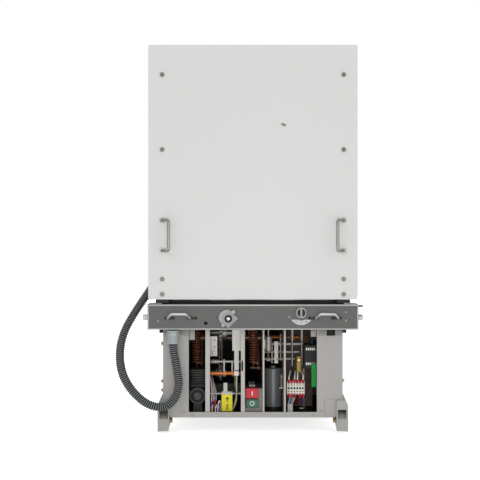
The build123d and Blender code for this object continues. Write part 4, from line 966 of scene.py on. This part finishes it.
# %% White surround
def seen_rays(tree):
    """A value of 1 for camera, glossy and transmission rays, and 0 for the light itself."""
    ray = add_node(tree, "ShaderNodeLightPath")
    bright = add_node(tree, "ShaderNodeMath", {"operation": "MAXIMUM"},
                      links={0: ray.outputs["Is Camera Ray"], 1: ray.outputs["Is Glossy Ray"]})
    return add_node(tree, "ShaderNodeMath", {"operation": "MAXIMUM"},
                    links={0: bright.outputs[0],
                           1: ray.outputs["Is Transmission Ray"]}).outputs[0]


world_strength = 0.68
world = bpy.data.worlds.new("studio")
scene.world = world
world.use_nodes = True
tree = world.node_tree
world_light = tree.nodes["Background"]
world_light.inputs["Color"].default_value = (1, 1, 1, 1)
world_light.inputs["Strength"].default_value = world_strength
surround = add_node(tree, "ShaderNodeBackground", values={"Color": (1, 1, 1, 1), "Strength": 1})
either = add_node(tree, "ShaderNodeMixShader",
                  links={0: seen_rays(tree), 1: world_light.outputs[0],
                         2: surround.outputs[0]})
tree.links.new(either.outputs[0], tree.nodes["World Output"].inputs["Surface"])
print("world light:", world_strength)

# %% [markdown]
# The floor is a matt white studio board. Its glow shows only to camera, glossy and transmission
# rays, so it reads as white, lights nothing, and the breaker's shadow still darkens it.

# %% Floor
floor_glow = 0.7
start()
bpy.ops.mesh.primitive_plane_add(size=14, location=(0, 1.5, 0))
floor = bpy.context.object
floor.name = "floor"
# Painted board: an even, matt white.
floor_board = finish("matt_white_board", "F5F5F5", roughness=0.7, patch_mm=300, vary=0.004)
tree = floor_board.node_tree
glow = add_node(tree, "ShaderNodeMath", {"operation": "MULTIPLY"}, {1: floor_glow},
                {0: seen_rays(tree)})
tree.nodes["Principled BSDF"].inputs["Emission Color"].default_value = (1, 1, 1, 1)
tree.links.new(glow.outputs[0], tree.nodes["Principled BSDF"].inputs["Emission Strength"])
floor.data.materials.append(floor_board)
print("floor glow:", floor_glow)


# %% [markdown]
# The lamps are large, so that shadows stay soft. The key and the fill stand at the front left
# and right, one hangs overhead, and a low one reaches into the open compartments.


# %% Lamps
def lamp(name, place, aim, size, power):
    """A soft area lamp that points at a place on the object."""
    light = bpy.data.lights.new(name, "AREA")
    light.shape = "RECTANGLE"
    light.size, light.size_y = size
    light.energy = power
    holder = bpy.data.objects.new(name, light)
    bpy.context.collection.objects.link(holder)
    holder.location = place
    holder.rotation_euler = (Vector(aim) - Vector(place)).to_track_quat("-Z", "Y").to_euler()


lamp("key", (-1.6, -3.4, 2.4), (0, -0.2, 0.6), (1.6, 1.6), 11)
lamp("fill", (2.2, -3.0, 1.2), (0, -0.2, 0.4), (1.6, 1.8), 7)
lamp("top", (0.2, -0.6, 3.2), (0, -0.1, 0.5), (2.0, 2.0), 6)
lamp("low", (0.0, -2.6, 0.35), (0, -0.1, 0.2), (1.0, 0.4), 6)
print("lamps:", len(bpy.data.lights))
